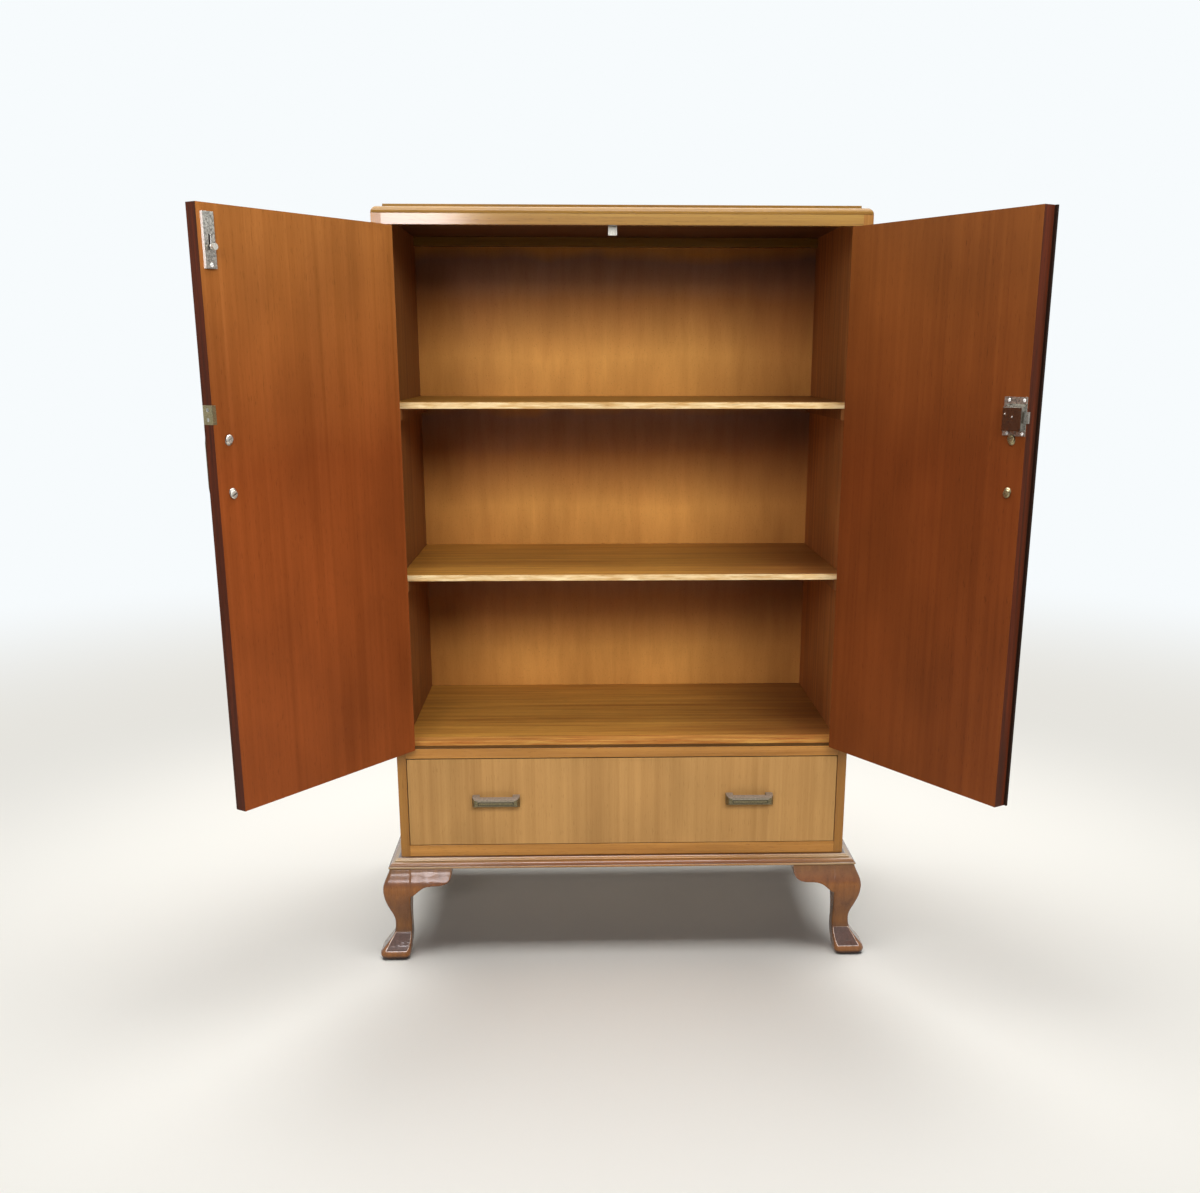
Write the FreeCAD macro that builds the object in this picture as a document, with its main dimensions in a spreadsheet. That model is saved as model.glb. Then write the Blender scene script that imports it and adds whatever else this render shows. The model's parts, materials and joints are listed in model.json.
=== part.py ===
import FreeCAD, Part
import math
import os
import re

import Sketcher

# Linen cupboard: a case on a moulded plinth and four cabriole legs, with two doors
# over two shelves and one drawer below. Millimetres. X is the width, to the right as
# seen from the front, Y runs from front to back and Z is up. The origin is on the
# floor, at the centre of the plinth's footprint. The doors stand open at rest.

os.makedirs("parts", exist_ok=True)
doc = FreeCAD.newDocument("linen_cupboard")
sheet = doc.addObject("Spreadsheet::Sheet", "Sizes")

# Driving sizes
DRIVING = (
    ("case_width", 762, "outside width of the case"),
    ("case_depth", 420, "front to back of the case"),
    ("side_thickness", 15, "side panels"),
    ("top_rail_height", 16, "rail over the doors"),
    ("top_rail_thickness", 16, "rail over the doors, front to back"),
    ("ovolo_height", 10.3, "quarter round of the top board"),
    ("ovolo_radius", 9.8, "quarter round of the top board"),
    ("top_step_height", 4.2, "raised flat of the top board"),
    ("top_step_inset", 16, "raised flat, in from the front and the sides"),
    ("back_thickness", 4, "plywood back panel"),
    ("back_rebate", 7, "rebate of the sides that takes the back panel"),
    ("door_height", 821, "both doors"),
    ("door_thickness", 18.5, "both doors"),
    ("door_gap", 2.5, "above and below the doors"),
    ("meeting_gap", 2, "between the two doors when they are shut"),
    ("hinge_gap", 1.5, "between a door and the side it hangs on"),
    ("stop_gap", 0.4, "between a shut door and the floor's riser"),
    ("left_door_angle", 124.8, "left door, degrees open at rest"),
    ("right_door_angle", 120.7, "right door, degrees open at rest"),
    ("floor_rise", 7, "cupboard floor above the door rail"),
    ("floor_thickness", 15, "cupboard floor"),
    ("lipping_width", 28, "strip along the floor's front"),
    ("door_rail_height", 17.5, "rail between the doors and the drawer"),
    ("bottom_rail_height", 20, "rail under the drawer"),
    ("rail_thickness", 18, "bottom rail, front to back"),
    ("dust_board_thickness", 6, "board under the drawer"),
    ("shelf_thickness", 10, "both shelves"),
    ("shelf_setback", 40, "shelves behind the case front"),
    ("shelf_clearance", 0.5, "between a shelf's end and the case side"),
    ("lower_shelf_rise", 280, "lower shelf's top above the cupboard floor"),
    ("upper_shelf_rise", 557, "upper shelf's top above the cupboard floor"),
    ("bearer_width", 12, "shelf bearers, out from the case side"),
    ("bearer_height", 18, "shelf bearers"),
    ("bearer_setback", 6, "shelf bearers behind the shelf's front edge"),
    ("drawer_space", 155.5, "height of the drawer's opening"),
    ("drawer_gap", 1.2, "round the drawer front"),
    ("drawer_front_thickness", 18, "drawer front"),
    ("drawer_side_thickness", 10, "drawer sides and back"),
    ("drawer_side_height", 128, "drawer sides"),
    ("drawer_length", 375, "drawer sides, front to back"),
    ("drawer_bottom_thickness", 4, "plywood drawer bottom"),
    ("drawer_groove_depth", 5, "groove that takes the drawer bottom"),
    ("drawer_groove_rise", 9, "groove above the drawer sides' lower edge"),
    ("slide_clearance", 0.3, "under the drawer and beside what slides"),
    ("runner_width", 20, "drawer runners"),
    ("drawer_stop_length", 30, "drawer stops, along the rail"),
    ("drawer_stop_depth", 12, "drawer stops, front to back"),
    ("drawer_stop_lip", 6, "drawer stops above the bottom rail"),
    ("leg_height", 161, "floor to the underside of the plinth"),
    ("plinth_height", 16, "plinth moulding"),
    ("plinth_overhang", 20.5, "plinth moulding beyond the case"),
    ("plinth_seat", 30, "plinth moulding under the case"),
    ("foot_reach", 39.5, "foot beyond the case, sideways and forwards"),
    ("leg_inset", 17, "inner faces of the leg inside the case's face"),
    ("bracket_length", 70, "leg bracket along the plinth"),
    ("bracket_thickness", 16, "leg bracket behind the case's face line"),
    ("dowel_radius", 6, "dowel between leg and plinth"),
    ("dowel_length", 24, "dowel between leg and plinth"),
    ("dowel_offset", 1, "dowel's axis outside the case's face"),
    ("hinge_length", 64, "butt hinges"),
    ("hinge_inset", 110, "hinge centres from the door's ends"),
    ("leaf_thickness", 1.2, "hinge leaves"),
    ("leaf_width", 17, "hinge leaves, into the joint"),
    ("knuckle_radius", 3, "hinge knuckles"),
    ("knuckle_gap", 0.3, "between hinge knuckles"),
    ("knuckle_standoff", 4, "hinge axis in front of the case"),
    ("pin_radius", 1.5, "hinge pins"),
    ("running_clearance", 0.05, "round pins and screws"),
    ("screw_head_radius", 2.6, "countersunk wood screws"),
    ("screw_shank_radius", 1.3, "countersunk wood screws"),
    ("screw_length", 11, "countersunk wood screws"),
    ("hinge_screw_pitch", 23, "screws along a hinge leaf"),
    ("pull_length", 80, "bar pulls"),
    ("pull_height", 17.8, "bar pulls, across the bar"),
    ("pull_gap", 14, "finger gap behind a pull's bar"),
    ("pull_bar_thickness", 7.5, "bar of a pull"),
    ("pull_bevel", 3, "long edges of a pull's bar"),
    ("pull_end_bevel", 4, "ends of a pull's bar"),
    ("pull_step_thickness", 1.5, "each raised step of a pull"),
    ("pull_step_inset", 1.8, "each raised step of a pull, in from the last"),
    ("pull_step_end_inset", 5, "each raised step of a pull, in from the ends"),
    ("pull_post_width", 12, "posts of a pull"),
    ("drawer_pull_inset", 149.3, "drawer pulls in from the ends of the drawer front"),
    ("drawer_pull_drop", 72.4, "drawer pulls below the drawer front's top"),
    ("door_pull_rise", 487.4, "door pulls above the door's foot"),
    ("door_pull_inset", 23.25, "door pulls from the leading edge"),
    ("pull_screw_radius", 2, "screws that hold the pulls"),
    ("pull_screw_depth", 8, "screws that hold the pulls, into their posts"),
    ("dome_radius", 6, "domed heads of the pull screws"),
    ("dome_height", 4, "domed heads of the pull screws"),
    ("bolt_plate_length", 69.8, "case of the sliding bolt"),
    ("bolt_plate_width", 18, "case of the sliding bolt"),
    ("bolt_plate_thickness", 4.5, "case of the sliding bolt"),
    ("bolt_plate_wall", 1.5, "case of the sliding bolt"),
    ("bolt_plate_inset", 6.25, "case of the sliding bolt from the leading edge"),
    ("bolt_plate_drop", 10.9, "case of the sliding bolt below the door's top"),
    ("bolt_width", 8, "sliding bolt"),
    ("bolt_thickness", 2.4, "sliding bolt"),
    ("bolt_length", 52, "sliding bolt"),
    ("bolt_tip_recess", 1.5, "sliding bolt's tip below the top of its case"),
    ("bolt_throw", 14, "sliding bolt's travel"),
    ("knob_rise", 26.5, "bolt's knob above the foot of its case"),
    ("bolt_plate_screw_rise", 4.6, "screw above the foot of the bolt's case"),
    ("knob_neck_length", 5.2, "bolt's knob in front of its case"),
    ("knob_neck_radius", 1.5, "bolt's knob"),
    ("knob_radius", 4.2, "bolt's knob"),
    ("knob_height", 4.5, "bolt's knob"),
    ("keep_width", 13.5, "keep of the sliding bolt"),
    ("keep_height", 22, "keep of the sliding bolt"),
    ("keep_depth", 8.4, "keep of the sliding bolt, out from the rail"),
    ("keep_wall", 1.5, "keep of the sliding bolt"),
    ("keep_drop", 13, "keep of the sliding bolt below the rail"),
    ("keep_ear", 6, "screwed ears of the keep"),
    ("keep_ear_thickness", 1.2, "screwed ears of the keep"),
    ("keep_door_clearance", 0.6, "between the keep and the shut door"),
    ("strike_height", 25.5, "strike plate"),
    ("strike_thickness", 1.2, "strike plate"),
    ("strike_return", 6.5, "strike plate on the door's inner face"),
    ("strike_screw_spread", 6.4, "screws from the strike plate's middle"),
    ("strike_rise", 543.4, "strike plate's foot above the door's foot"),
    ("lock_plate_width", 39.5, "lock's back plate"),
    ("lock_plate_height", 51.5, "lock's back plate"),
    ("lock_plate_thickness", 1.5, "lock's back plate"),
    ("lock_plate_inset", 0.8, "lock's back plate from the leading edge"),
    ("lock_plate_rise", 528.4, "lock's back plate above the door's foot"),
    ("lock_screw_spread", 13.5, "screws from the middle of the lock's back plate"),
    ("lock_screw_margin", 3.6, "screws from the ends of the lock's back plate"),
    ("lock_cover_width", 33, "lock's cover"),
    ("lock_cover_height", 36, "lock's cover"),
    ("lock_cover_depth", 9, "lock's cover"),
    ("lock_cover_slope", 4.8, "fall of the lock cover's top towards the front"),
    ("lock_cover_wall", 1, "lock's cover"),
    ("lock_cover_inset", 0.5, "lock's cover from the plate's leading end"),
    ("lock_cover_rise", 6.7, "lock's cover above the plate's foot"),
    ("lock_bolt_height", 15, "lock's bolt"),
    ("lock_bolt_thickness", 3, "lock's bolt"),
    ("lock_bolt_length", 31.5, "lock's bolt"),
    ("lock_bolt_reach", 6, "lock's bolt beyond the leading edge at rest"),
    ("lock_bolt_draw", 7, "how far the key draws the lock's bolt back"),
    ("lock_bolt_throw", 3, "how far the key throws the lock's bolt further out"),
    ("key_notch", 5, "notch of the lock's bolt for the key"),
    ("keyhole_radius", 3.2, "keyhole"),
    ("keyhole_slot", 4.8, "keyhole's slot below its centre"),
    ("keyhole_slot_width", 3, "keyhole's slot"),
    ("escutcheon_radius", 7, "keyhole plate outside"),
    ("escutcheon_height", 10, "keyhole plate outside, between its round ends"),
    ("escutcheon_thickness", 1.5, "keyhole plate outside"),
    ("strip_width", 14, "closing strip"),
    ("strip_overhang", 4, "closing strip beyond the leading edge"),
    ("strip_thickness", 5, "closing strip"),
    ("strip_clearance", 0.4, "between the closing strip and the left door"),
    ("strip_rounding", 2, "closing strip's front edges"),
    ("overrun", 5, "how far a cut runs past what it cuts"),
)

# Sizes worked out from the driving ones
DERIVED = (
    ("front", "-(case_depth - plinth_overhang) / 2"),
    ("back", "front + case_depth"),
    ("outer_half", "case_width / 2"),
    ("inner_half", "outer_half - side_thickness"),
    ("inner_width", "inner_half * 2"),
    ("case_base", "leg_height + plinth_height"),
    ("drawer_base", "case_base + bottom_rail_height"),
    ("door_rail_base", "drawer_base + drawer_space"),
    ("door_rail_top", "door_rail_base + door_rail_height"),
    ("floor_top", "door_rail_top + floor_rise"),
    ("door_base", "door_rail_top + door_gap"),
    ("door_top", "door_base + door_height"),
    ("top_rail_base", "door_top + door_gap"),
    ("case_top", "top_rail_base + top_rail_height"),
    ("door_rail_thickness", "door_thickness + stop_gap"),
    ("riser", "front + door_rail_thickness"),
    ("back_face", "back - back_thickness"),
    ("shelf_front", "front + shelf_setback"),
    ("shelf_depth", "back_face - shelf_front"),
    ("lower_shelf_base", "floor_top + lower_shelf_rise - shelf_thickness"),
    ("upper_shelf_base", "floor_top + upper_shelf_rise - shelf_thickness"),
    ("bearer_front", "shelf_front + bearer_setback"),
    ("pivot_reach", "inner_half - hinge_gap / 2"),
    ("pivot_front", "front - knuckle_standoff"),
    ("door_edge", "hinge_gap / 2"),
    ("door_width", "inner_half - hinge_gap - meeting_gap / 2"),
    ("leading_edge", "door_edge + door_width"),
    ("door_outer", "knuckle_standoff"),
    ("door_inner", "door_outer + door_thickness"),
    ("lower_hinge_base", "door_base + hinge_inset - hinge_length / 2"),
    ("upper_hinge_base", "door_top - hinge_inset - hinge_length / 2"),
    ("knuckle_pitch", "hinge_length / 5"),
    ("drawer_half", "inner_half - drawer_gap"),
    ("drawer_front_back", "front + drawer_front_thickness"),
    ("drawer_front_base", "drawer_base + drawer_gap"),
    ("drawer_front_height", "drawer_space - drawer_gap * 2"),
    ("drawer_side_base", "drawer_base + slide_clearance"),
    ("drawer_bottom_base", "drawer_side_base + drawer_groove_rise"),
    ("drawer_bottom_half", "drawer_half - drawer_side_thickness + drawer_groove_depth"),
    ("drawer_pull_spread", "drawer_half - drawer_pull_inset"),
    ("drawer_pull_level", "drawer_front_base + drawer_front_height - drawer_pull_drop"),
    ("pull_screw_spread", "pull_length / 2 - pull_post_width / 2"),
    ("door_pull_axis", "leading_edge - door_pull_inset"),
    ("door_pull_level", "door_base + door_pull_rise"),
    ("bolt_plate_u", "leading_edge - bolt_plate_inset - bolt_plate_width"),
    ("bolt_axis", "bolt_plate_u + bolt_plate_width / 2"),
    ("bolt_plate_base", "door_top - bolt_plate_drop - bolt_plate_length"),
    ("bolt_plate_top", "bolt_plate_base + bolt_plate_length"),
    ("bolt_base", "bolt_plate_top - bolt_tip_recess - bolt_length"),
    ("knob_level", "bolt_plate_base + knob_rise"),
    ("bolt_channel_depth", "bolt_plate_thickness - bolt_plate_wall"),
    ("keep_axis", "bolt_axis - pivot_reach"),
    ("keep_base", "top_rail_base - keep_drop"),
    ("keep_front", "front + top_rail_thickness"),
    ("strike_base", "door_base + strike_rise"),
    ("lock_plate_u", "leading_edge - lock_plate_inset - lock_plate_width"),
    ("lock_plate_base", "door_base + lock_plate_rise"),
    ("lock_cover_u", "lock_plate_u + lock_plate_width - lock_cover_inset - lock_cover_width"),
    ("lock_cover_base", "lock_plate_base + lock_cover_rise"),
    ("lock_face", "door_inner + lock_plate_thickness"),
    ("lock_level", "lock_cover_base + lock_cover_height / 2"),
    ("lock_plate_middle", "lock_plate_u + lock_plate_width / 2"),
    ("lock_bolt_u", "leading_edge + lock_bolt_reach - lock_bolt_length"),
    ("keyhole_u", "lock_cover_u + lock_cover_width / 2"),
    ("keyhole_level", "lock_level - lock_bolt_height / 2 - keyhole_radius"),
)


def fill_sheet():
    row = 0
    for alias, value, meaning in DRIVING:
        row += 1
        sheet.set(f"A{row}", alias)
        sheet.set(f"B{row}", str(value))
        sheet.set(f"C{row}", meaning)
        sheet.setAlias(f"B{row}", alias)
    for alias, formula in DERIVED:
        row += 1
        sheet.set(f"A{row}", alias)
        sheet.set(f"B{row}", "=" + formula)
        sheet.setAlias(f"B{row}", alias)
    doc.recompute()


fill_sheet()


def value(name):
    return float(sheet.get(name))


NAME = re.compile(r"[a-z_]+")
nodes = []


def bind(obj, prop, formula):
    """Tie one property to a formula written in the sheet's names."""
    obj.setExpression(prop, NAME.sub(r"Sizes.\g<0>", str(formula)))


def place(obj, x, y, z):
    for letter, formula in zip("xyz", (x, y, z)):
        bind(obj, f"Placement.Base.{letter}", formula)


def node(obj, label):
    """Name a finished sub-part and put it on the list that is written out."""
    obj.Label = label
    nodes.append(obj)
    return obj


def block(x, y, z, width, depth, height):
    """A box from its low corner and its three sizes."""
    box = doc.addObject("Part::Box", "Block")
    bind(box, "Length", width)
    bind(box, "Width", depth)
    bind(box, "Height", height)
    place(box, x, y, z)
    return box


def bevelled_block(x, y, z, width, depth, height, near=(0, 0, 0, 0), far=(0, 0, 0, 0)):
    """A box whose near (-Y) or far face is drawn in: left, right, below and above."""
    wedge = doc.addObject("Part::Wedge", "Wedge")
    bind(wedge, "Ymax", depth)
    wedge.Ymin = 0
    for across, up, (left, right, low, high) in (("X", "Z", near), ("X2", "Z2", far)):
        bind(wedge, f"{across}min", left)
        bind(wedge, f"{across}max", f"{width} - ({right})")
        bind(wedge, f"{up}min", low)
        bind(wedge, f"{up}max", f"{height} - ({high})")
    place(wedge, x, y, z)
    return wedge


TURNS = {
    "+x": ((0, 1, 0), 90),
    "-x": ((0, 1, 0), -90),
    "+y": ((1, 0, 0), -90),
    "-y": ((1, 0, 0), 90),
    "+z": ((0, 0, 1), 0),
    "-z": ((1, 0, 0), 180),
}


def turned(obj, way):
    axis, angle = TURNS[way]
    rotation = FreeCAD.Rotation(FreeCAD.Vector(*axis), angle)
    obj.Placement = FreeCAD.Placement(FreeCAD.Vector(), rotation)


def rod(x, y, z, way, radius, length):
    """A round bar that starts at a point and runs one way along an axis."""
    bar = doc.addObject("Part::Cylinder", "Rod")
    bind(bar, "Radius", radius)
    bind(bar, "Height", length)
    turned(bar, way)
    place(bar, x, y, z)
    return bar


def taper(x, y, z, way, first_radius, last_radius, length):
    cone = doc.addObject("Part::Cone", "Taper")
    bind(cone, "Radius1", first_radius)
    bind(cone, "Radius2", last_radius)
    bind(cone, "Height", length)
    turned(cone, way)
    place(cone, x, y, z)
    return cone


def dome(x, y, z, way, radius, height):
    """Half an ellipsoid that stands on a point of a face."""
    cap = doc.addObject("Part::Ellipsoid", "Dome")
    bind(cap, "Radius1", height)
    bind(cap, "Radius2", radius)
    bind(cap, "Radius3", radius)
    cap.Angle1 = 0
    turned(cap, way)
    place(cap, x, y, z)
    return cap


def joined(parts, kind="Part::MultiFuse"):
    whole = doc.addObject(kind, "Joined")
    if kind == "Part::MultiFuse":
        whole.Shapes = parts
    else:
        whole.Links = parts
    return whole


def group(parts):
    """Separate solids that share one node."""
    return joined(parts, "Part::Compound")


def less(base, tools):
    """A piece with one or more others cut out of it."""
    cut = doc.addObject("Part::Cut", "Cut")
    cut.Base = base
    cut.Tool = tools[0] if len(tools) == 1 else joined(tools)
    return cut


def screw(x, y, z, way, clearance="0", length="screw_length"):
    """A countersunk wood screw, its head flush at the point; with clearance it is the hole."""
    head = taper(x, y, z, way, f"screw_head_radius + {clearance}",
                 f"screw_shank_radius + {clearance}", "leaf_thickness")
    shank = rod(x, y, z, way, f"screw_shank_radius + {clearance}",
                f"{length} + {clearance}")
    return joined([head, shank])


def screw_hole(x, y, z, way, length="screw_length"):
    return screw(x, y, z, way, "running_clearance", length)


# A door's pieces are laid out in the door's own frame, shut: the origin is on its hinge
# axis at floor level, u runs to the leading edge, y into the cupboard and z up.
HANDS = {
    "left": {"sign": "", "reach": "-pivot_reach", "angle": "-left_door_angle",
             "toward": "+x", "away": "-x"},
    "right": {"sign": "-", "reach": "pivot_reach", "angle": "right_door_angle",
              "toward": "-x", "away": "+x"},
}


def door_x(hand, u):
    """The x of a distance u from the hinge axis."""
    return f"{HANDS[hand]['sign']}({u})"


def door_block(hand, u, y, z, width, depth, height):
    x = u if hand == "left" else f"-({u}) - ({width})"
    return block(x, y, z, width, depth, height)


def hung(obj, hand, label, opened=True):
    """Put a piece laid out in a door's frame where the hinge axis is."""
    place(obj, HANDS[hand]["reach"], "pivot_front", "0")
    if opened:
        bind(obj, "Placement.Rotation.Angle", HANDS[hand]["angle"])
    return node(obj, label)


def soften(base, radius, keep):
    """Round the edges that a test picks."""
    doc.recompute()
    picked = [number for number, edge in enumerate(base.Shape.Edges, 1) if keep(edge)]
    rounded = doc.addObject("Part::Fillet", "Rounded")
    rounded.Base = base
    rounded.Edges = [(number, value(radius), value(radius)) for number in picked]
    return rounded


# Case

def hinge_case_tools(hand):
    """What a case side loses to its two hinges: the leaves' recesses and the screw holes."""
    sign = "-" if hand == "left" else ""
    tools = []
    for base in ("lower_hinge_base", "upper_hinge_base"):
        low = "-inner_half - leaf_thickness" if hand == "left" else "inner_half"
        tools.append(block(low, "front - overrun", base, "leaf_thickness",
                           "overrun + leaf_width", "hinge_length"))
        for step in ("-hinge_screw_pitch", "0", "hinge_screw_pitch"):
            tools.append(screw_hole(f"{sign}inner_half", "front + leaf_width / 2",
                                    f"{base} + hinge_length / 2 + {step}",
                                    HANDS[hand]["away"]))
    return tools


def side_panels():
    for hand, low in (("left", "-outer_half"), ("right", "inner_half")):
        panel = block(low, "front", "case_base", "side_thickness", "case_depth",
                      "case_top - case_base")
        rebate_low = "-inner_half - back_rebate" if hand == "left" else "inner_half"
        rebate = block(rebate_low, "back_face", "case_base - overrun", "back_rebate",
                       "back_thickness + overrun", "case_top - case_base + overrun * 2")
        node(less(panel, [rebate] + hinge_case_tools(hand)), f"{hand}_side_panel")


def edge_spans(edge, axis):
    """How far an edge runs along one axis."""
    box = edge.BoundBox
    return (box.XLength, box.YLength, box.ZLength)[axis]


def body_sketch(body, plane, name, offset="0"):
    """A sketch on one of a body's own origin planes, moved out by a bound offset."""
    sketch = body.newObject("Sketcher::SketchObject", name)
    planes = {feature.Role: feature for feature in body.Origin.OriginFeatures}
    sketch.AttachmentSupport = [(planes[plane], "")]
    sketch.MapMode = "FlatFace"
    bind(sketch, "AttachmentOffset.Base.z", offset)
    return sketch


def bound_rectangle(sketch, low_x, low_y, width, height):
    """A rectangle whose place and size follow the sheet."""
    corner = [FreeCAD.Vector(x, y, 0) for x, y in ((-1, -1), (1, -1), (1, 1), (-1, 1))]
    for start, end in zip(corner, corner[1:] + corner[:1]):
        sketch.addGeometry(Part.LineSegment(start, end), False)
    for line in range(4):
        sketch.addConstraint(Sketcher.Constraint("Coincident", line, 2, (line + 1) % 4, 1))
    for line, way in ((0, "Horizontal"), (2, "Horizontal"), (1, "Vertical"), (3, "Vertical")):
        sketch.addConstraint(Sketcher.Constraint(way, line))
    for kind, line, formula in (("DistanceX", 0, width), ("DistanceY", 1, height)):
        index = sketch.addConstraint(Sketcher.Constraint(kind, line, 1, line, 2, 1.0))
        bind(sketch, f"Constraints[{index}]", formula)
    for kind, formula in (("DistanceX", low_x), ("DistanceY", low_y)):
        index = sketch.addConstraint(Sketcher.Constraint(kind, -1, 1, 0, 1, 1.0))
        bind(sketch, f"Constraints[{index}]", formula)


def pad(body, sketch, length, name):
    feature = body.newObject("PartDesign::Pad", name)
    feature.Profile = sketch
    bind(feature, "Length", length)
    sketch.Visibility = False
    return feature


def top_board():
    """Board with an ovolo along its front and ends and a raised flat on top."""
    body = doc.addObject("PartDesign::Body", "TopBoard")
    outline = body_sketch(body, "XY_Plane", "Outline", "case_top")
    bound_rectangle(outline, "-outer_half", "front", "case_width", "case_depth")
    board = pad(body, outline, "ovolo_height", "Board")
    doc.recompute()
    top = value("case_top") + value("ovolo_height")
    slack = value("running_clearance")
    names = []
    for number, edge in enumerate(board.Shape.Edges, 1):
        centre = edge.CenterOfMass
        if abs(centre.z - top) < slack and centre.y < value("back") - slack:
            names.append(f"Edge{number}")
    ovolo = body.newObject("PartDesign::Fillet", "Ovolo")
    ovolo.Base = (board, names)
    bind(ovolo, "Radius", "ovolo_radius")
    doc.recompute()
    raised = body_sketch(body, "XY_Plane", "RaisedOutline", "case_top + ovolo_height")
    bound_rectangle(raised, "-outer_half + top_step_inset", "front + top_step_inset",
                    "case_width - top_step_inset * 2", "case_depth - top_step_inset")
    body.Tip = pad(body, raised, "top_step_height", "RaisedFlat")
    node(body, "top_board")


def rails_and_boards():
    """The straight members between the two sides, from the top down."""
    keep_screw_holes = [screw_hole(f"keep_axis + {side}(keep_width + keep_ear) / 2",
                                   "keep_front + keep_ear_thickness",
                                   "keep_base + keep_height - keep_ear / 2", "-y")
                        for side in "+-"]
    rail = block("-inner_half", "front", "top_rail_base", "inner_width",
                 "top_rail_thickness", "top_rail_height")
    node(less(rail, keep_screw_holes), "top_front_rail")
    node(block("-inner_half", "back_face - top_rail_thickness", "top_rail_base",
               "inner_width", "top_rail_thickness", "top_rail_height"), "top_back_rail")
    node(block("-inner_half - back_rebate", "back_face", "case_base",
               "inner_width + back_rebate * 2", "back_thickness", "case_top - case_base"),
         "back_panel")
    node(block("-inner_half", "riser + lipping_width", "floor_top - floor_thickness",
               "inner_width", "back_face - riser - lipping_width", "floor_thickness"),
         "cupboard_floor")
    node(block("-inner_half", "riser", "floor_top - floor_thickness", "inner_width",
               "lipping_width", "floor_thickness"), "floor_front_lipping")
    node(block("-inner_half", "front", "door_rail_base", "inner_width",
               "door_rail_thickness", "door_rail_height"), "door_rail")
    node(block("-inner_half", "front", "case_base", "inner_width", "rail_thickness",
               "bottom_rail_height"), "bottom_rail")
    node(block("-inner_half", "front + rail_thickness", "case_base", "inner_width",
               "back_face - front - rail_thickness", "dust_board_thickness"),
         "bottom_board")


def drawer_guides():
    runner_base = "case_base + dust_board_thickness"
    for hand, low in (("left", "-inner_half"), ("right", "inner_half - runner_width")):
        node(block(low, "front + rail_thickness", runner_base, "runner_width",
                   "back_face - front - rail_thickness", f"drawer_base - ({runner_base})"),
             f"{hand}_drawer_runner")
    stops = [block(f"{side}inner_half / 2 - drawer_stop_length / 2",
                   "drawer_front_back + slide_clearance", runner_base,
                   "drawer_stop_length", "drawer_stop_depth",
                   f"drawer_base + drawer_stop_lip - ({runner_base})")
             for side in ("-", "")]
    node(group(stops), "drawer_stops")


def shelves():
    bearers = []
    for name in ("upper", "lower"):
        base = f"{name}_shelf_base"
        node(block("-inner_half + shelf_clearance", "shelf_front", base,
                   "inner_width - shelf_clearance * 2", "shelf_depth", "shelf_thickness"),
             f"{name}_shelf")
        for low in ("-inner_half", "inner_half - bearer_width"):
            bearers.append(block(low, "bearer_front", f"{base} - bearer_height",
                                 "bearer_width", "back_face - bearer_front",
                                 "bearer_height"))
    node(group(bearers), "shelf_bearers")


# Plinth

# Moulding outline: shares of the overhang outwards and of the plinth's height upwards.
# A third pair is a point that an arc passes on its way.
MOULDING_SHARES = (
    ((0.88, 0), None),
    ((1, 0.12), (0.96, 0.03)),
    ((0.93, 0.28), (1, 0.21)),
    ((0.86, 0.30), None),
    ((0.48, 0.62), (0.77, 0.53)),
    ((0.44, 0.62), None),
    ((0.44, 0.80), (0.50, 0.71)),
    ((0.34, 0.80), None),
    ((0.14, 1), (0.26, 0.94)),
)


def moulding_face():
    """The moulding's outline in the YZ plane, with its overhang towards -Y."""
    out, tall = value("plinth_overhang"), value("plinth_height")
    front, base, seat = value("front"), value("leg_height"), value("plinth_seat")

    def at(share):
        return FreeCAD.Vector(0, front - share[0] * out, base + share[1] * tall)

    inner = FreeCAD.Vector(0, front + seat, base)
    inner_top = FreeCAD.Vector(0, front + seat, base + tall)
    edges = [Part.LineSegment(inner, at(MOULDING_SHARES[0][0]))]
    last = at(MOULDING_SHARES[0][0])
    for share, through in MOULDING_SHARES[1:]:
        point = at(share)
        if through is None:
            edges.append(Part.LineSegment(last, point))
        else:
            edges.append(Part.Arc(last, at(through), point))
        last = point
    edges.append(Part.LineSegment(last, inner_top))
    edges.append(Part.LineSegment(inner_top, inner))
    return Part.Face(Part.Wire([edge.toShape() for edge in edges]))


def prism(points, direction):
    """A solid from a closed outline and one sweep direction."""
    return Part.Face(Part.makePolygon(points + points[:1])).extrude(direction)


def dowel_shapes(clearance):
    """Four dowels, half in the legs and half in the plinth."""
    reach = value("outer_half") + value("dowel_offset")
    front = value("front") - value("dowel_offset")
    radius = value("dowel_radius") + clearance
    length = value("dowel_length") + clearance * 2
    base = value("leg_height") - value("dowel_length") / 2 - clearance
    return [Part.makeCylinder(radius, length, FreeCAD.Vector(x, y, base))
            for x in (-reach, reach) for y in (front, -front)]


def shaped(shape, label):
    feature = doc.addObject("Part::Feature", "Shaped")
    feature.Shape = shape
    return node(feature, label)


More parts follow.
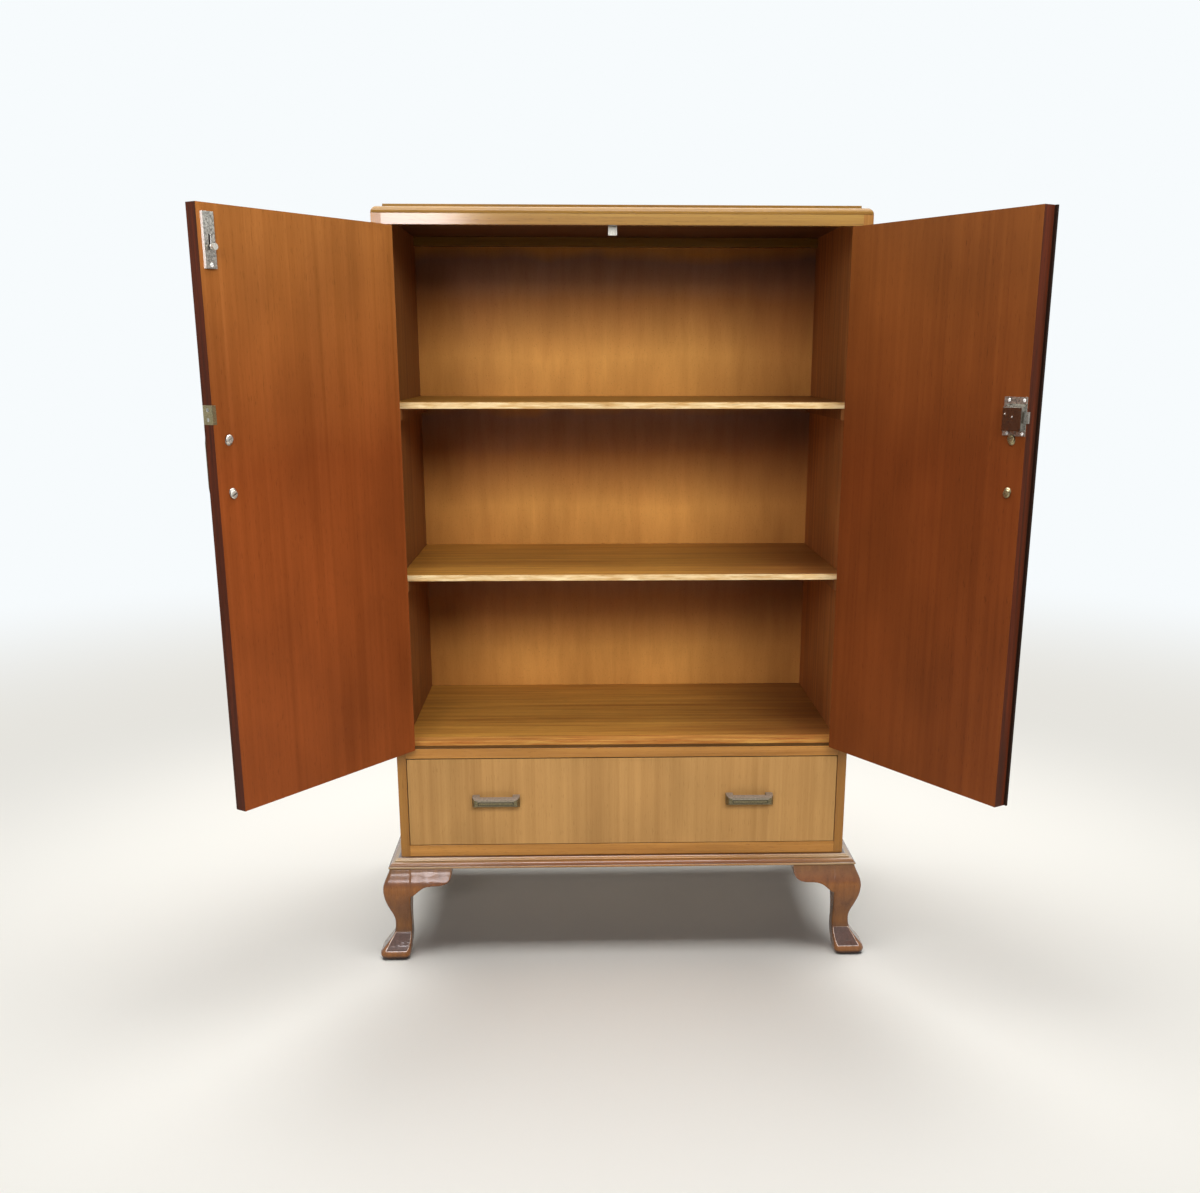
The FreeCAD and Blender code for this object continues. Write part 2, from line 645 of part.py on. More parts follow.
def plinth():
    """Mitred mouldings along the front and the ends, and a plain back rail."""
    out, seat = value("plinth_overhang"), value("plinth_seat")
    half, front, back = value("outer_half"), value("front"), value("back")
    low, tall = value("leg_height"), value("plinth_height")
    reach, past = half + out, value("overrun")
    holes = Part.makeCompound(dowel_shapes(0))
    face = moulding_face()

    front_bar = face.copy()
    front_bar.translate(FreeCAD.Vector(-reach, 0, 0))
    front_bar = front_bar.extrude(FreeCAD.Vector(reach * 2, 0, 0))
    corner = front - out
    depth = out + seat
    mitre = prism([FreeCAD.Vector(-reach, corner, low - past),
                   FreeCAD.Vector(reach, corner, low - past),
                   FreeCAD.Vector(reach - depth, corner + depth, low - past),
                   FreeCAD.Vector(-reach + depth, corner + depth, low - past)],
                  FreeCAD.Vector(0, 0, tall + past * 2))
    shaped(front_bar.common(mitre).cut(holes), "plinth_front_moulding")

    side_mitre = prism([FreeCAD.Vector(-reach, corner, low - past),
                        FreeCAD.Vector(-reach + depth, corner + depth, low - past),
                        FreeCAD.Vector(-reach + depth, back, low - past),
                        FreeCAD.Vector(-reach, back, low - past)],
                       FreeCAD.Vector(0, 0, tall + past * 2))
    side_bar = face.copy()
    side_bar.translate(FreeCAD.Vector(0, -front, 0))
    side_bar.rotate(FreeCAD.Vector(0, 0, 0), FreeCAD.Vector(0, 0, 1), -90)
    side_bar.translate(FreeCAD.Vector(-half, corner, 0))
    side_bar = side_bar.extrude(FreeCAD.Vector(0, back - corner, 0)).common(side_mitre)
    other = side_bar.mirror(FreeCAD.Vector(0, 0, 0), FreeCAD.Vector(1, 0, 0))
    shaped(side_bar.cut(holes), "plinth_left_moulding")
    shaped(other.cut(holes), "plinth_right_moulding")
    node(block("-outer_half + plinth_seat", "back - plinth_seat", "leg_height",
               "case_width - plinth_seat * 2", "plinth_seat", "plinth_height"),
         "plinth_back_rail")


# Legs

# Sections of a leg from the top down: share of the leg's height, share of the foot's
# reach outside the case's face, share of the inset inside it, and the roundings of the
# outer corner and of the other corners as shares of the foot's reach.
LEG_SHARES = (
    (1.000, 0.481, 1.00, 0.076, 0.025),
    (0.950, 0.552, 1.00, 0.101, 0.025),
    (0.894, 0.658, 1.00, 0.114, 0.025),
    (0.832, 0.749, 1.00, 0.127, 0.025),
    (0.776, 0.775, 1.00, 0.127, 0.025),
    (0.720, 0.759, 0.98, 0.127, 0.030),
    (0.658, 0.709, 0.94, 0.114, 0.051),
    (0.590, 0.623, 0.89, 0.101, 0.063),
    (0.522, 0.516, 0.86, 0.089, 0.076),
    (0.460, 0.420, 0.84, 0.081, 0.081),
    (0.404, 0.365, 0.84, 0.076, 0.081),
    (0.354, 0.354, 0.84, 0.076, 0.081),
    (0.311, 0.367, 0.85, 0.076, 0.081),
    (0.267, 0.410, 0.85, 0.076, 0.081),
    (0.236, 0.481, 0.85, 0.081, 0.086),
    (0.205, 0.577, 0.84, 0.101, 0.096),
    (0.174, 0.681, 0.82, 0.152, 0.114),
    (0.146, 0.785, 0.80, 0.215, 0.139),
    (0.124, 0.871, 0.78, 0.266, 0.177),
    (0.109, 0.927, 0.76, 0.291, 0.203),
    (0.087, 0.977, 0.74, 0.304, 0.228),
    (0.062, 1.000, 0.72, 0.304, 0.228),
    (0.034, 0.985, 0.66, 0.304, 0.228),
    (0.012, 0.922, 0.53, 0.278, 0.215),
    (0.000, 0.823, 0.29, 0.241, 0.190),
)


def rounded_square(low, high, outer_rounding, rounding, z):
    """A square with rounded corners whose outer corner, at (-low, -low), has its own."""
    centre = ((low, low, outer_rounding, 180), (high, low, rounding, 270),
              (high, high, rounding, 0), (low, high, rounding, 90))
    arcs = []
    for x, y, radius, first in centre:
        cx = x + radius if x == low else x - radius
        cy = y + radius if y == low else y - radius
        angles = [math.radians(first + turn) for turn in (0, 45, 90)]
        points = [FreeCAD.Vector(cx + radius * math.cos(angle),
                                 cy + radius * math.sin(angle), z) for angle in angles]
        arcs.append(points)
    edges = []
    for index, points in enumerate(arcs):
        edges.append(Part.Arc(*points).toShape())
        edges.append(Part.LineSegment(points[-1], arcs[(index + 1) % 4][0]).toShape())
    return Part.Wire(edges)


def leg_shape():
    """The front left leg: a loft through rounded squares."""
    tall, reach, inset = value("leg_height"), value("foot_reach"), value("leg_inset")
    wires = [rounded_square(-out * reach, inner * inset, corner * reach, other * reach,
                            level * tall)
             for level, out, inner, corner, other in LEG_SHARES]
    leg = Part.makeLoft(wires, True, False)
    leg.translate(FreeCAD.Vector(-value("outer_half"), value("front"), 0))
    return leg


def mirrored(shape, x=False, y=False):
    if x:
        shape = shape.mirror(FreeCAD.Vector(0, 0, 0), FreeCAD.Vector(1, 0, 0))
    if y:
        shape = shape.mirror(FreeCAD.Vector(0, 0, 0), FreeCAD.Vector(0, 1, 0))
    return shape


def legs():
    leg = leg_shape()
    holes = Part.makeCompound(dowel_shapes(0))
    for y, end in ((False, "front"), (True, "rear")):
        for x, hand in ((False, "left"), (True, "right")):
            shaped(mirrored(leg, x, y).cut(holes), f"{end}_{hand}_leg")
    shaped(Part.makeCompound(dowel_shapes(0)), "leg_dowels")


# Lower edge of a bracket from the leg to its tip: shares of its length and of the leg's
# height, then its end, which curls up to the plinth.
BRACKET_SHARES = (
    (-0.20, 0.660), (0.02, 0.705), (0.13, 0.745), (0.24, 0.785), (0.35, 0.812),
    (0.50, 0.822), (0.66, 0.824), (0.80, 0.835), (0.90, 0.858), (0.97, 0.895),
    (0.995, 0.940), (1.00, 1.000),
)
BRACKET_KNEE_ROWS_SHARE = 8


def bracket_shape():
    """The bracket on the right of the front left leg, its face carrying on the knee."""
    tall, reach = value("leg_height"), value("foot_reach")
    front = value("front")
    start = -value("outer_half") + value("leg_inset")
    length, thick = value("bracket_length"), value("bracket_thickness")
    knee = [FreeCAD.Vector(start - length, front - row[1] * reach, row[0] * tall)
            for row in LEG_SHARES[:BRACKET_KNEE_ROWS_SHARE]]
    curve = Part.BSplineCurve()
    curve.interpolate(knee)
    back_top = FreeCAD.Vector(start - length, front + thick, tall)
    back_low = FreeCAD.Vector(start - length, front + thick, knee[-1].z)
    wire = Part.Wire([curve.toShape(), Part.LineSegment(knee[-1], back_low).toShape(),
                      Part.LineSegment(back_low, back_top).toShape(),
                      Part.LineSegment(back_top, knee[0]).toShape()])
    bar = Part.Face(wire).extrude(FreeCAD.Vector(length * 2, 0, 0))
    deep = value("foot_reach") + thick + value("overrun") * 2
    near = front - value("foot_reach") - value("overrun")
    lower = [FreeCAD.Vector(start + along * length, near, level * tall)
             for along, level in BRACKET_SHARES]
    edge = Part.BSplineCurve()
    edge.interpolate(lower)
    corner = FreeCAD.Vector(lower[0].x, near, tall)
    outline = Part.Wire([edge.toShape(), Part.LineSegment(lower[-1], corner).toShape(),
                         Part.LineSegment(corner, lower[0]).toShape()])
    cutter = Part.Face(outline).extrude(FreeCAD.Vector(0, deep, 0))
    beyond = Part.makeBox(length * 2, deep, tall * 2,
                          FreeCAD.Vector(start, near, 0))
    return bar.common(cutter).common(beyond).cut(leg_shape())


def leg_brackets():
    """Brackets beside the front legs along the front, and beside every leg along the ends."""
    bracket = bracket_shape()
    shaped(Part.makeCompound([bracket, mirrored(bracket, x=True)]), "front_leg_brackets")
    # Turned about the leg's diagonal, the same bracket runs along the end of the case.
    along_end = bracket.copy()
    along_end.translate(FreeCAD.Vector(value("outer_half"), -value("front"), 0))
    along_end = along_end.mirror(FreeCAD.Vector(0, 0, 0), FreeCAD.Vector(1, -1, 0))
    along_end.translate(FreeCAD.Vector(-value("outer_half"), value("front"), 0))
    shaped(Part.makeCompound([mirrored(along_end, x, y)
                              for x in (False, True) for y in (False, True)]),
           "side_leg_brackets")


# Hinges

def knuckles(hand, base, segments):
    """The barrel pieces of one leaf and the webs that join them to it."""
    parts = []
    for segment in segments:
        low = f"{base} + {segment} * knuckle_pitch + knuckle_gap / 2"
        parts.append(rod("0", "0", low, "+z", "knuckle_radius",
                         "knuckle_pitch - knuckle_gap"))
        web_u = "door_edge" if segment in (1, 3) else "-door_edge - leaf_thickness"
        parts.append(door_block(hand, web_u, "0", low, "leaf_thickness",
                                "knuckle_standoff", "knuckle_pitch - knuckle_gap"))
    return parts


def hinge_leaf(hand, base, of_door):
    """One leaf of a butt hinge, in the shut door's frame."""
    u = "door_edge" if of_door else "-door_edge - leaf_thickness"
    plate = door_block(hand, u, "knuckle_standoff", base, "leaf_thickness", "leaf_width",
                       "hinge_length")
    leaf = joined([plate] + knuckles(hand, base, (1, 3) if of_door else (0, 2, 4)))
    bore = rod("0", "0", f"{base} - overrun", "+z", "pin_radius + running_clearance",
               "hinge_length + overrun * 2")
    return less(leaf, [bore] + leaf_screws(hand, base, of_door, screw_hole))


def leaf_screws(hand, base, of_door, make):
    """Three screws, or their holes, from one leaf into the wood behind it."""
    u = "door_edge" if of_door else "-door_edge"
    way = HANDS[hand]["toward"] if of_door else HANDS[hand]["away"]
    return [make(door_x(hand, u), "knuckle_standoff + leaf_width / 2",
                 f"{base} + hinge_length / 2 + {step}", way)
            for step in ("-hinge_screw_pitch", "0", "hinge_screw_pitch")]


HINGE_BASES = ("lower_hinge_base", "upper_hinge_base")


def hinges():
    for hand in HANDS:
        hung(group([hinge_leaf(hand, base, False) for base in HINGE_BASES]), hand,
             f"{hand}_hinge_case_leaves", opened=False)
        hung(group([hinge_leaf(hand, base, True) for base in HINGE_BASES]), hand,
             f"{hand}_hinge_door_leaves")
        pins = [rod("0", "0", base, "+z", "pin_radius", "hinge_length")
                for base in HINGE_BASES]
        hung(group(pins), hand, f"{hand}_hinge_pins", opened=False)


def case_screws():
    screws = []
    for hand in HANDS:
        sign = "-" if hand == "left" else ""
        for base in HINGE_BASES:
            for step in ("-hinge_screw_pitch", "0", "hinge_screw_pitch"):
                screws.append(screw(f"{sign}inner_half", "front + leaf_width / 2",
                                    f"{base} + hinge_length / 2 + {step}",
                                    HANDS[hand]["away"]))
    for side in "+-":
        screws.append(screw(f"keep_axis + {side}(keep_width + keep_ear) / 2",
                            "keep_front + keep_ear_thickness",
                            "keep_base + keep_height - keep_ear / 2", "-y"))
    node(group(screws), "case_screws")


# Pulls

def pull(x, y, z, upright):
    """A stepped bar pull that faces -Y, centred on a point of the face it is fixed to."""
    def slab(length, height, near, depth, end_bevel="0", bevel="0"):
        low_x, low_z, draw = f"({length}) / 2", f"({height}) / 2", (end_bevel, bevel)
        if upright:
            length, height, low_x, low_z, draw = height, length, low_z, low_x, draw[::-1]
        return bevelled_block(f"{x} - {low_x}", f"{y} - ({near}) - ({depth})",
                              f"{z} - {low_z}", f"({length})", depth, f"({height})",
                              near=(draw[0], draw[0], draw[1], draw[1]))

    parts = [slab("pull_length", "pull_height", "pull_gap", "pull_bar_thickness",
                  "pull_end_bevel", "pull_bevel")]
    for step in (1, 2):
        parts.append(slab(f"pull_length - pull_end_bevel * 2 - pull_step_end_inset * {step}",
                          f"pull_height - pull_bevel * 2 - pull_step_inset * {step}",
                          f"pull_gap + pull_bar_thickness + pull_step_thickness * {step - 1}",
                          "pull_step_thickness"))
    for side in "+-":
        shift = f"{side} pull_screw_spread"
        px, pz = (x, f"{z} {shift}") if upright else (f"{x} {shift}", z)
        width, height = "pull_post_width", "pull_height"
        if upright:
            width, height = height, width
        parts.append(block(f"{px} - ({width}) / 2", f"{y} - pull_gap",
                           f"{pz} - ({height}) / 2", width, "pull_gap", height))
    holes = [rod(px, y, pz, "-y", "pull_screw_radius + running_clearance",
                 "pull_screw_depth + running_clearance")
             for px, pz in pull_screw_places(x, z, upright)]
    return less(joined(parts), holes)


def pull_screw_places(x, z, upright):
    if upright:
        return [(x, f"{z} {side} pull_screw_spread") for side in "+-"]
    return [(f"{x} {side} pull_screw_spread", z) for side in "+-"]


def pull_screws(x, outer, inner, z, upright):
    """Screws from the inner face into the pull's posts, with domed heads inside."""
    screws = []
    for px, pz in pull_screw_places(x, z, upright):
        shank = rod(px, inner, pz, "-y", "pull_screw_radius",
                    f"{inner} - ({outer}) + pull_screw_depth")
        head = dome(px, inner, pz, "+y", "dome_radius", "dome_height")
        screws.append(joined([shank, head]))
    return screws


def pull_holes(x, inner, z, upright, depth):
    return [rod(px, f"{inner} + overrun", pz, "-y", "pull_screw_radius + running_clearance",
                f"{depth} + overrun * 2") for px, pz in pull_screw_places(x, z, upright)]


# Doors

def keyhole(y, depth):
    """A round hole with a slot below it, cut through from one face."""
    x = door_x("right", "keyhole_u")
    return [rod(x, y, "keyhole_level", "+y", "keyhole_radius", depth),
            block(f"{x} - keyhole_slot_width / 2", y, "keyhole_level - keyhole_slot",
                  "keyhole_slot_width", depth, "keyhole_slot")]


def door_panel(hand, extra):
    """A door, less its hinge recesses, the pull's screw holes and what a hand needs."""
    panel = door_block(hand, "door_edge", "door_outer", "door_base", "door_width",
                       "door_thickness", "door_height")
    tools = []
    for base in HINGE_BASES:
        tools.append(door_block(hand, "door_edge - overrun", "door_outer - overrun", base,
                                "leaf_thickness + overrun", "leaf_width + overrun",
                                "hinge_length"))
        tools += leaf_screws(hand, base, True, screw_hole)
    tools += pull_holes(door_x(hand, "door_pull_axis"), "door_inner", "door_pull_level",
                        True, "door_thickness")
    hung(less(panel, tools + extra), hand, f"{hand}_door_panel")


def door_fittings(hand, screws):
    """What both doors carry: a pull outside, its screws and the small wood screws."""
    x = door_x(hand, "door_pull_axis")
    hung(pull(x, "door_outer", "door_pull_level", True), hand, f"{hand}_door_pull")
    hung(group(pull_screws(x, "door_outer", "door_inner", "door_pull_level", True)), hand,
         f"{hand}_door_pull_screws")
    for base in HINGE_BASES:
        screws = screws + leaf_screws(hand, base, True, screw)
    hung(group(screws), hand, f"{hand}_door_screws")


def strike_screws(make):
    return [make("leading_edge", "door_outer + door_thickness / 2",
                 f"strike_base + strike_height / 2 {side} strike_screw_spread", "-x")
            for side in "+-"]


def bolt_plate_screws(make):
    """The screw at the foot of the bolt's case, below its channel."""
    return [make("bolt_axis", "door_inner + bolt_plate_thickness",
                 "bolt_plate_base + bolt_plate_screw_rise", "-y")]


def left_door():
    channel = "bolt_width + slide_clearance * 2"
    plate = door_block("left", "bolt_plate_u", "door_inner", "bolt_plate_base",
                       "bolt_plate_width", "bolt_plate_thickness", "bolt_plate_length")
    run = door_block("left", f"bolt_axis - ({channel}) / 2", "door_inner - overrun",
                     "bolt_base - slide_clearance", channel,
                     "overrun + bolt_channel_depth", "bolt_length + bolt_plate_drop")
    neck = "knob_neck_radius * 2 + slide_clearance * 2"
    slot = door_block("left", f"bolt_axis - ({neck}) / 2", "door_inner",
                      "knob_level - knob_neck_radius - slide_clearance", neck,
                      "bolt_plate_thickness + overrun", f"{neck} + bolt_throw")
    hung(less(plate, [run, slot] + bolt_plate_screws(screw_hole)), "left", "bolt_plate")

    bar = door_block("left", "bolt_axis - bolt_width / 2", "door_inner + slide_clearance",
                     "bolt_base", "bolt_width", "bolt_thickness", "bolt_length")
    stem = rod("bolt_axis", "door_inner + slide_clearance", "knob_level", "+y",
               "knob_neck_radius", "bolt_plate_thickness + knob_neck_length")
    head = rod("bolt_axis",
               "door_inner + slide_clearance + bolt_plate_thickness + knob_neck_length",
               "knob_level", "+y", "knob_radius", "knob_height")
    hung(joined([bar, stem, head]), "left", "door_bolt")

    edge_plate = door_block("left", "leading_edge - strike_thickness", "door_outer",
                            "strike_base", "strike_thickness", "door_thickness",
                            "strike_height")
    face_plate = door_block("left", "leading_edge - strike_return",
                            "door_inner - strike_thickness", "strike_base",
                            "strike_return", "strike_thickness", "strike_height")
    hung(less(joined([edge_plate, face_plate]), strike_screws(screw_hole)), "left",
         "strike_plate")
    recesses = [door_block("left", "leading_edge - strike_thickness", "door_outer - overrun",
                           "strike_base", "strike_thickness + overrun",
                           "door_thickness + overrun * 2", "strike_height"),
                door_block("left", "leading_edge - strike_return",
                           "door_inner - strike_thickness", "strike_base",
                           "strike_return + overrun", "strike_thickness + overrun",
                           "strike_height")]
    door_panel("left", recesses + strike_screws(screw_hole)
               + bolt_plate_screws(screw_hole))
    door_fittings("left", strike_screws(screw) + bolt_plate_screws(screw))


def lock_screws(make):
    """Four screws near the corners of the lock's back plate."""
    return [make(door_x("right", f"lock_plate_middle {side} lock_screw_spread"), "lock_face",
                 level, "-y")
            for side in "+-"
            for level in ("lock_plate_base + lock_screw_margin",
                          "lock_plate_base + lock_plate_height - lock_screw_margin")]


def right_door():
    plate = door_block("right", "lock_plate_u", "door_inner", "lock_plate_base",
                       "lock_plate_width", "lock_plate_thickness", "lock_plate_height")
    hung(less(plate, keyhole("door_inner - overrun", "lock_plate_thickness + overrun * 2")
              + lock_screws(screw_hole)), "right", "lock_back_plate")

    cover = bevelled_block("-lock_cover_u - lock_cover_width", "lock_face",
                           "lock_cover_base", "lock_cover_width", "lock_cover_depth",
                           "lock_cover_height", far=(0, 0, 0, "lock_cover_slope"))
    inside = door_block("right", "lock_cover_u + lock_cover_wall", "lock_face - overrun",
                        "lock_cover_base + lock_cover_wall",
                        "lock_cover_width - lock_cover_wall * 2",
                        "lock_cover_depth - lock_cover_wall + overrun",
                        "lock_cover_height - lock_cover_slope - lock_cover_wall * 2")
    mouth_height = "lock_bolt_height + slide_clearance * 2"
    mouth = door_block("right", "lock_cover_u + lock_cover_width / 2",
                       "lock_face - overrun", f"lock_level - ({mouth_height}) / 2",
                       "lock_cover_width", "overrun + lock_bolt_thickness + slide_clearance * 2",
                       mouth_height)
    hung(less(cover, [inside, mouth]), "right", "lock_cover")

    bar = door_block("right", "lock_bolt_u", "lock_face + slide_clearance",
                     "lock_level - lock_bolt_height / 2", "lock_bolt_length",
                     "lock_bolt_thickness", "lock_bolt_height")
    notch = door_block("right", "keyhole_u - key_notch / 2", "lock_face - overrun",
                       "lock_level - lock_bolt_height / 2 - overrun", "key_notch",
                       "lock_bolt_thickness + overrun * 2", "overrun + key_notch / 2")
    hung(less(bar, [notch]), "right", "lock_bolt")

    x = door_x("right", "keyhole_u")
    oval = joined([rod(x, "door_outer", f"keyhole_level {side} escutcheon_height / 2", "-y",
                       "escutcheon_radius", "escutcheon_thickness") for side in "+-"]
                  + [block(f"{x} - escutcheon_radius", "door_outer - escutcheon_thickness",
                           "keyhole_level - escutcheon_height / 2",
                           "escutcheon_radius * 2", "escutcheon_thickness",
                           "escutcheon_height")])
    hung(less(oval, keyhole("door_outer - escutcheon_thickness - overrun",
                            "escutcheon_thickness + overrun * 2")), "right",
         "keyhole_escutcheon")

    strip = door_block("right", "leading_edge + strip_overhang - strip_width",
                       "door_outer - strip_thickness", "door_base", "strip_width",
                       "strip_thickness", "door_height")
    relief = door_block("right", "leading_edge", "door_outer - strip_clearance",
                        "door_base - overrun", "strip_overhang + overrun",
                        "strip_clearance + overrun", "door_height + overrun * 2")
    face = value("door_outer") - value("strip_thickness")
    slack = value("running_clearance")
    rounded = soften(less(strip, [relief]), "strip_rounding",
                     lambda edge: abs(edge.CenterOfMass.y - face) < slack
                     and edge_spans(edge, 2) > value("strip_width"))
    hung(rounded, "right", "closing_strip")

    door_panel("right", keyhole("door_outer - overrun", "door_thickness + overrun * 2")
               + lock_screws(screw_hole))
    door_fittings("right", lock_screws(screw))


def bolt_keep():
    """A box staple on the back of the top rail, open to the front where the door shuts."""
    box = block("keep_axis - keep_width / 2", "keep_front", "keep_base", "keep_width",
                "keep_depth", "keep_height")
    ears = block("keep_axis - keep_width / 2 - keep_ear", "keep_front",
                 "keep_base + keep_height - keep_ear", "keep_width + keep_ear * 2",
                 "keep_ear_thickness", "keep_ear")
    hollow = block("keep_axis - keep_width / 2 + keep_wall", "keep_front - overrun",
                   "keep_base - overrun", "keep_width - keep_wall * 2",
                   "keep_depth - keep_wall + overrun", "keep_height + overrun * 2")
    door_side = block("keep_axis - keep_width", "keep_front - overrun",
                      "keep_base - overrun", "keep_width * 2",
                      "door_thickness - top_rail_thickness + keep_door_clearance + overrun",
                      "keep_drop + overrun")
    holes = [screw_hole(f"keep_axis + {side}(keep_width + keep_ear) / 2",
                        "keep_front + keep_ear_thickness",
                        "keep_base + keep_height - keep_ear / 2", "-y") for side in "+-"]
    node(less(joined([box, ears]), [hollow, door_side] + holes), "bolt_keep")


# Drawer

def drawer():
    low = "drawer_front_base"
    front_board = block("-drawer_half", "front", low, "drawer_half * 2",
                        "drawer_front_thickness", "drawer_front_height")
    groove_front = block("-drawer_bottom_half", "drawer_front_back - drawer_groove_depth",
                         "drawer_bottom_base", "drawer_bottom_half * 2",
                         "drawer_groove_depth + overrun", "drawer_bottom_thickness")
    centres = ("-drawer_pull_spread", "drawer_pull_spread")
    holes = []
    for x in centres:
        holes += pull_holes(x, "drawer_front_back", "drawer_pull_level", False,
                            "drawer_front_thickness")
    node(less(front_board, [groove_front] + holes), "drawer_front")

    bottom_end = "drawer_front_back + drawer_length"
    for hand, x in (("left", "-drawer_half"), ("right", "drawer_half - drawer_side_thickness")):
        side = block(x, "drawer_front_back", "drawer_side_base", "drawer_side_thickness",
                     "drawer_length", "drawer_side_height")
        groove_x = ("-drawer_bottom_half" if hand == "left"
                    else "drawer_half - drawer_side_thickness - overrun")
        groove = block(groove_x, "drawer_front_back - overrun", "drawer_bottom_base",
                       "drawer_groove_depth + overrun", "drawer_length + overrun * 2",
                       "drawer_bottom_thickness")
        node(less(side, [groove]), f"drawer_{hand}_side")
    inner = "drawer_half - drawer_side_thickness"
    node(block(f"-({inner})", f"{bottom_end} - drawer_side_thickness",
               "drawer_bottom_base + drawer_bottom_thickness", f"({inner}) * 2",
               "drawer_side_thickness",
               "drawer_side_height - drawer_groove_rise - drawer_bottom_thickness"),
         "drawer_back")
    node(block("-drawer_bottom_half", "drawer_front_back - drawer_groove_depth",
               "drawer_bottom_base", "drawer_bottom_half * 2",
               "drawer_length + drawer_groove_depth", "drawer_bottom_thickness"),
         "drawer_bottom")

    screws = []
    for hand, x in zip(HANDS, centres):
        node(pull(x, "front", "drawer_pull_level", False), f"drawer_{hand}_pull")
        screws += pull_screws(x, "front", "drawer_front_back", "drawer_pull_level", False)
    node(group(screws), "drawer_pull_screws")


def write_out():
    """Stop on any failed object, then write each sub-part to its own file."""
    doc.recompute()
    for obj in doc.Objects:
        if "Invalid" in obj.State or "Error" in obj.State:
            raise RuntimeError(f"{obj.Name} ({obj.Label}) failed: {obj.State}")
    for obj in nodes:
        if obj.Shape.isNull() or not obj.Shape.isValid() or not obj.Shape.Solids:
            raise RuntimeError(f"{obj.Label} has no valid solid")
    for obj in nodes:
        obj.Shape.exportStep(f"parts/{obj.Label}.step")
    print(len(nodes), "sub-parts written")


side_panels()
top_board()
rails_and_boards()
drawer_guides()
shelves()
plinth()
legs()
leg_brackets()
hinges()
bolt_keep()
case_screws()
left_door()
right_door()
drawer()
write_out()
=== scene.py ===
"""The linen cupboard's looks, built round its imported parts: eased boards, carved legs,
grooved pulls, round heads, and the finishes of its woods and metals."""

import json
import math

import bpy
from mathutils import Matrix, Vector


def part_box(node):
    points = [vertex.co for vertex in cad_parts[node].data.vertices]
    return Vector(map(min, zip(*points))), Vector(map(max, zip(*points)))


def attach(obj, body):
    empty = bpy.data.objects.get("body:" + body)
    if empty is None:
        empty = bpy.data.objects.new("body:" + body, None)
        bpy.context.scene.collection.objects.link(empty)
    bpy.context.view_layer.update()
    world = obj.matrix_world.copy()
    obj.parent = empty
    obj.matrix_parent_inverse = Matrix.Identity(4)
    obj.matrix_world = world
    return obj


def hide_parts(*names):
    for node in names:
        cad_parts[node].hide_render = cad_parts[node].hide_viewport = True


bl_info = {
    "name": "Linen cupboard",
    "version": (1, 0, 0),
    "blender": (4, 5, 0),
    "location": "3D View > Sidebar > Linen cupboard",
    "description": "Dresses the packed linen cupboard with wood, polish and metal",
    "category": "Object",
}

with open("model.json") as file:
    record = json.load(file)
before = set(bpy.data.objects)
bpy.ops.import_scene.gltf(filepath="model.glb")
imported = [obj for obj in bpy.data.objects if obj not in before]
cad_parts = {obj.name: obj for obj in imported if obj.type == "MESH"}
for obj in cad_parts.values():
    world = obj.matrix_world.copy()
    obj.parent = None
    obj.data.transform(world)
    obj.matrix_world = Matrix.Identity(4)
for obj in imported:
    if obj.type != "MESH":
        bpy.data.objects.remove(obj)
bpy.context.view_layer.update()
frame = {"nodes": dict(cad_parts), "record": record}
MM = 0.001


def linear(text):
    """An sRGB hex colour as the linear colour that the shaders take."""
    channels = [int(text[at:at + 2], 16) / 255 for at in (1, 3, 5)]
    return tuple(c / 12.92 if c <= 0.04045 else ((c + 0.055) / 1.055) ** 2.4
                 for c in channels)


def colour(name, text, description):
    return bpy.props.FloatVectorProperty(name=name, description=description, size=3,
                                         subtype="COLOR", min=0, max=1, default=linear(text))


def length(name, millimetres, description):
    return bpy.props.FloatProperty(name=name, description=description, unit="LENGTH",
                                   min=0, default=millimetres * MM)


# Sizes and colours that a user may change

class CupboardSizes(bpy.types.PropertyGroup):
    board_ease: length("Board edges", 0.6, "Rounding of the boards' edges")
    door_ease: length("Door edges", 1.0, "Rounding of the doors' edges")
    bracket_reach: length("Bracket reach", 1.5, "Depth of the brackets under the legs")
    carving: length("Carving", 0.9, "Step of the legs' carved surface")
    facet_depth: length("Foot facets", 0.9, "Depth of the facets on the feet")
    metal_ease: length("Metal edges", 0.35, "Rounding of the fittings' edges")


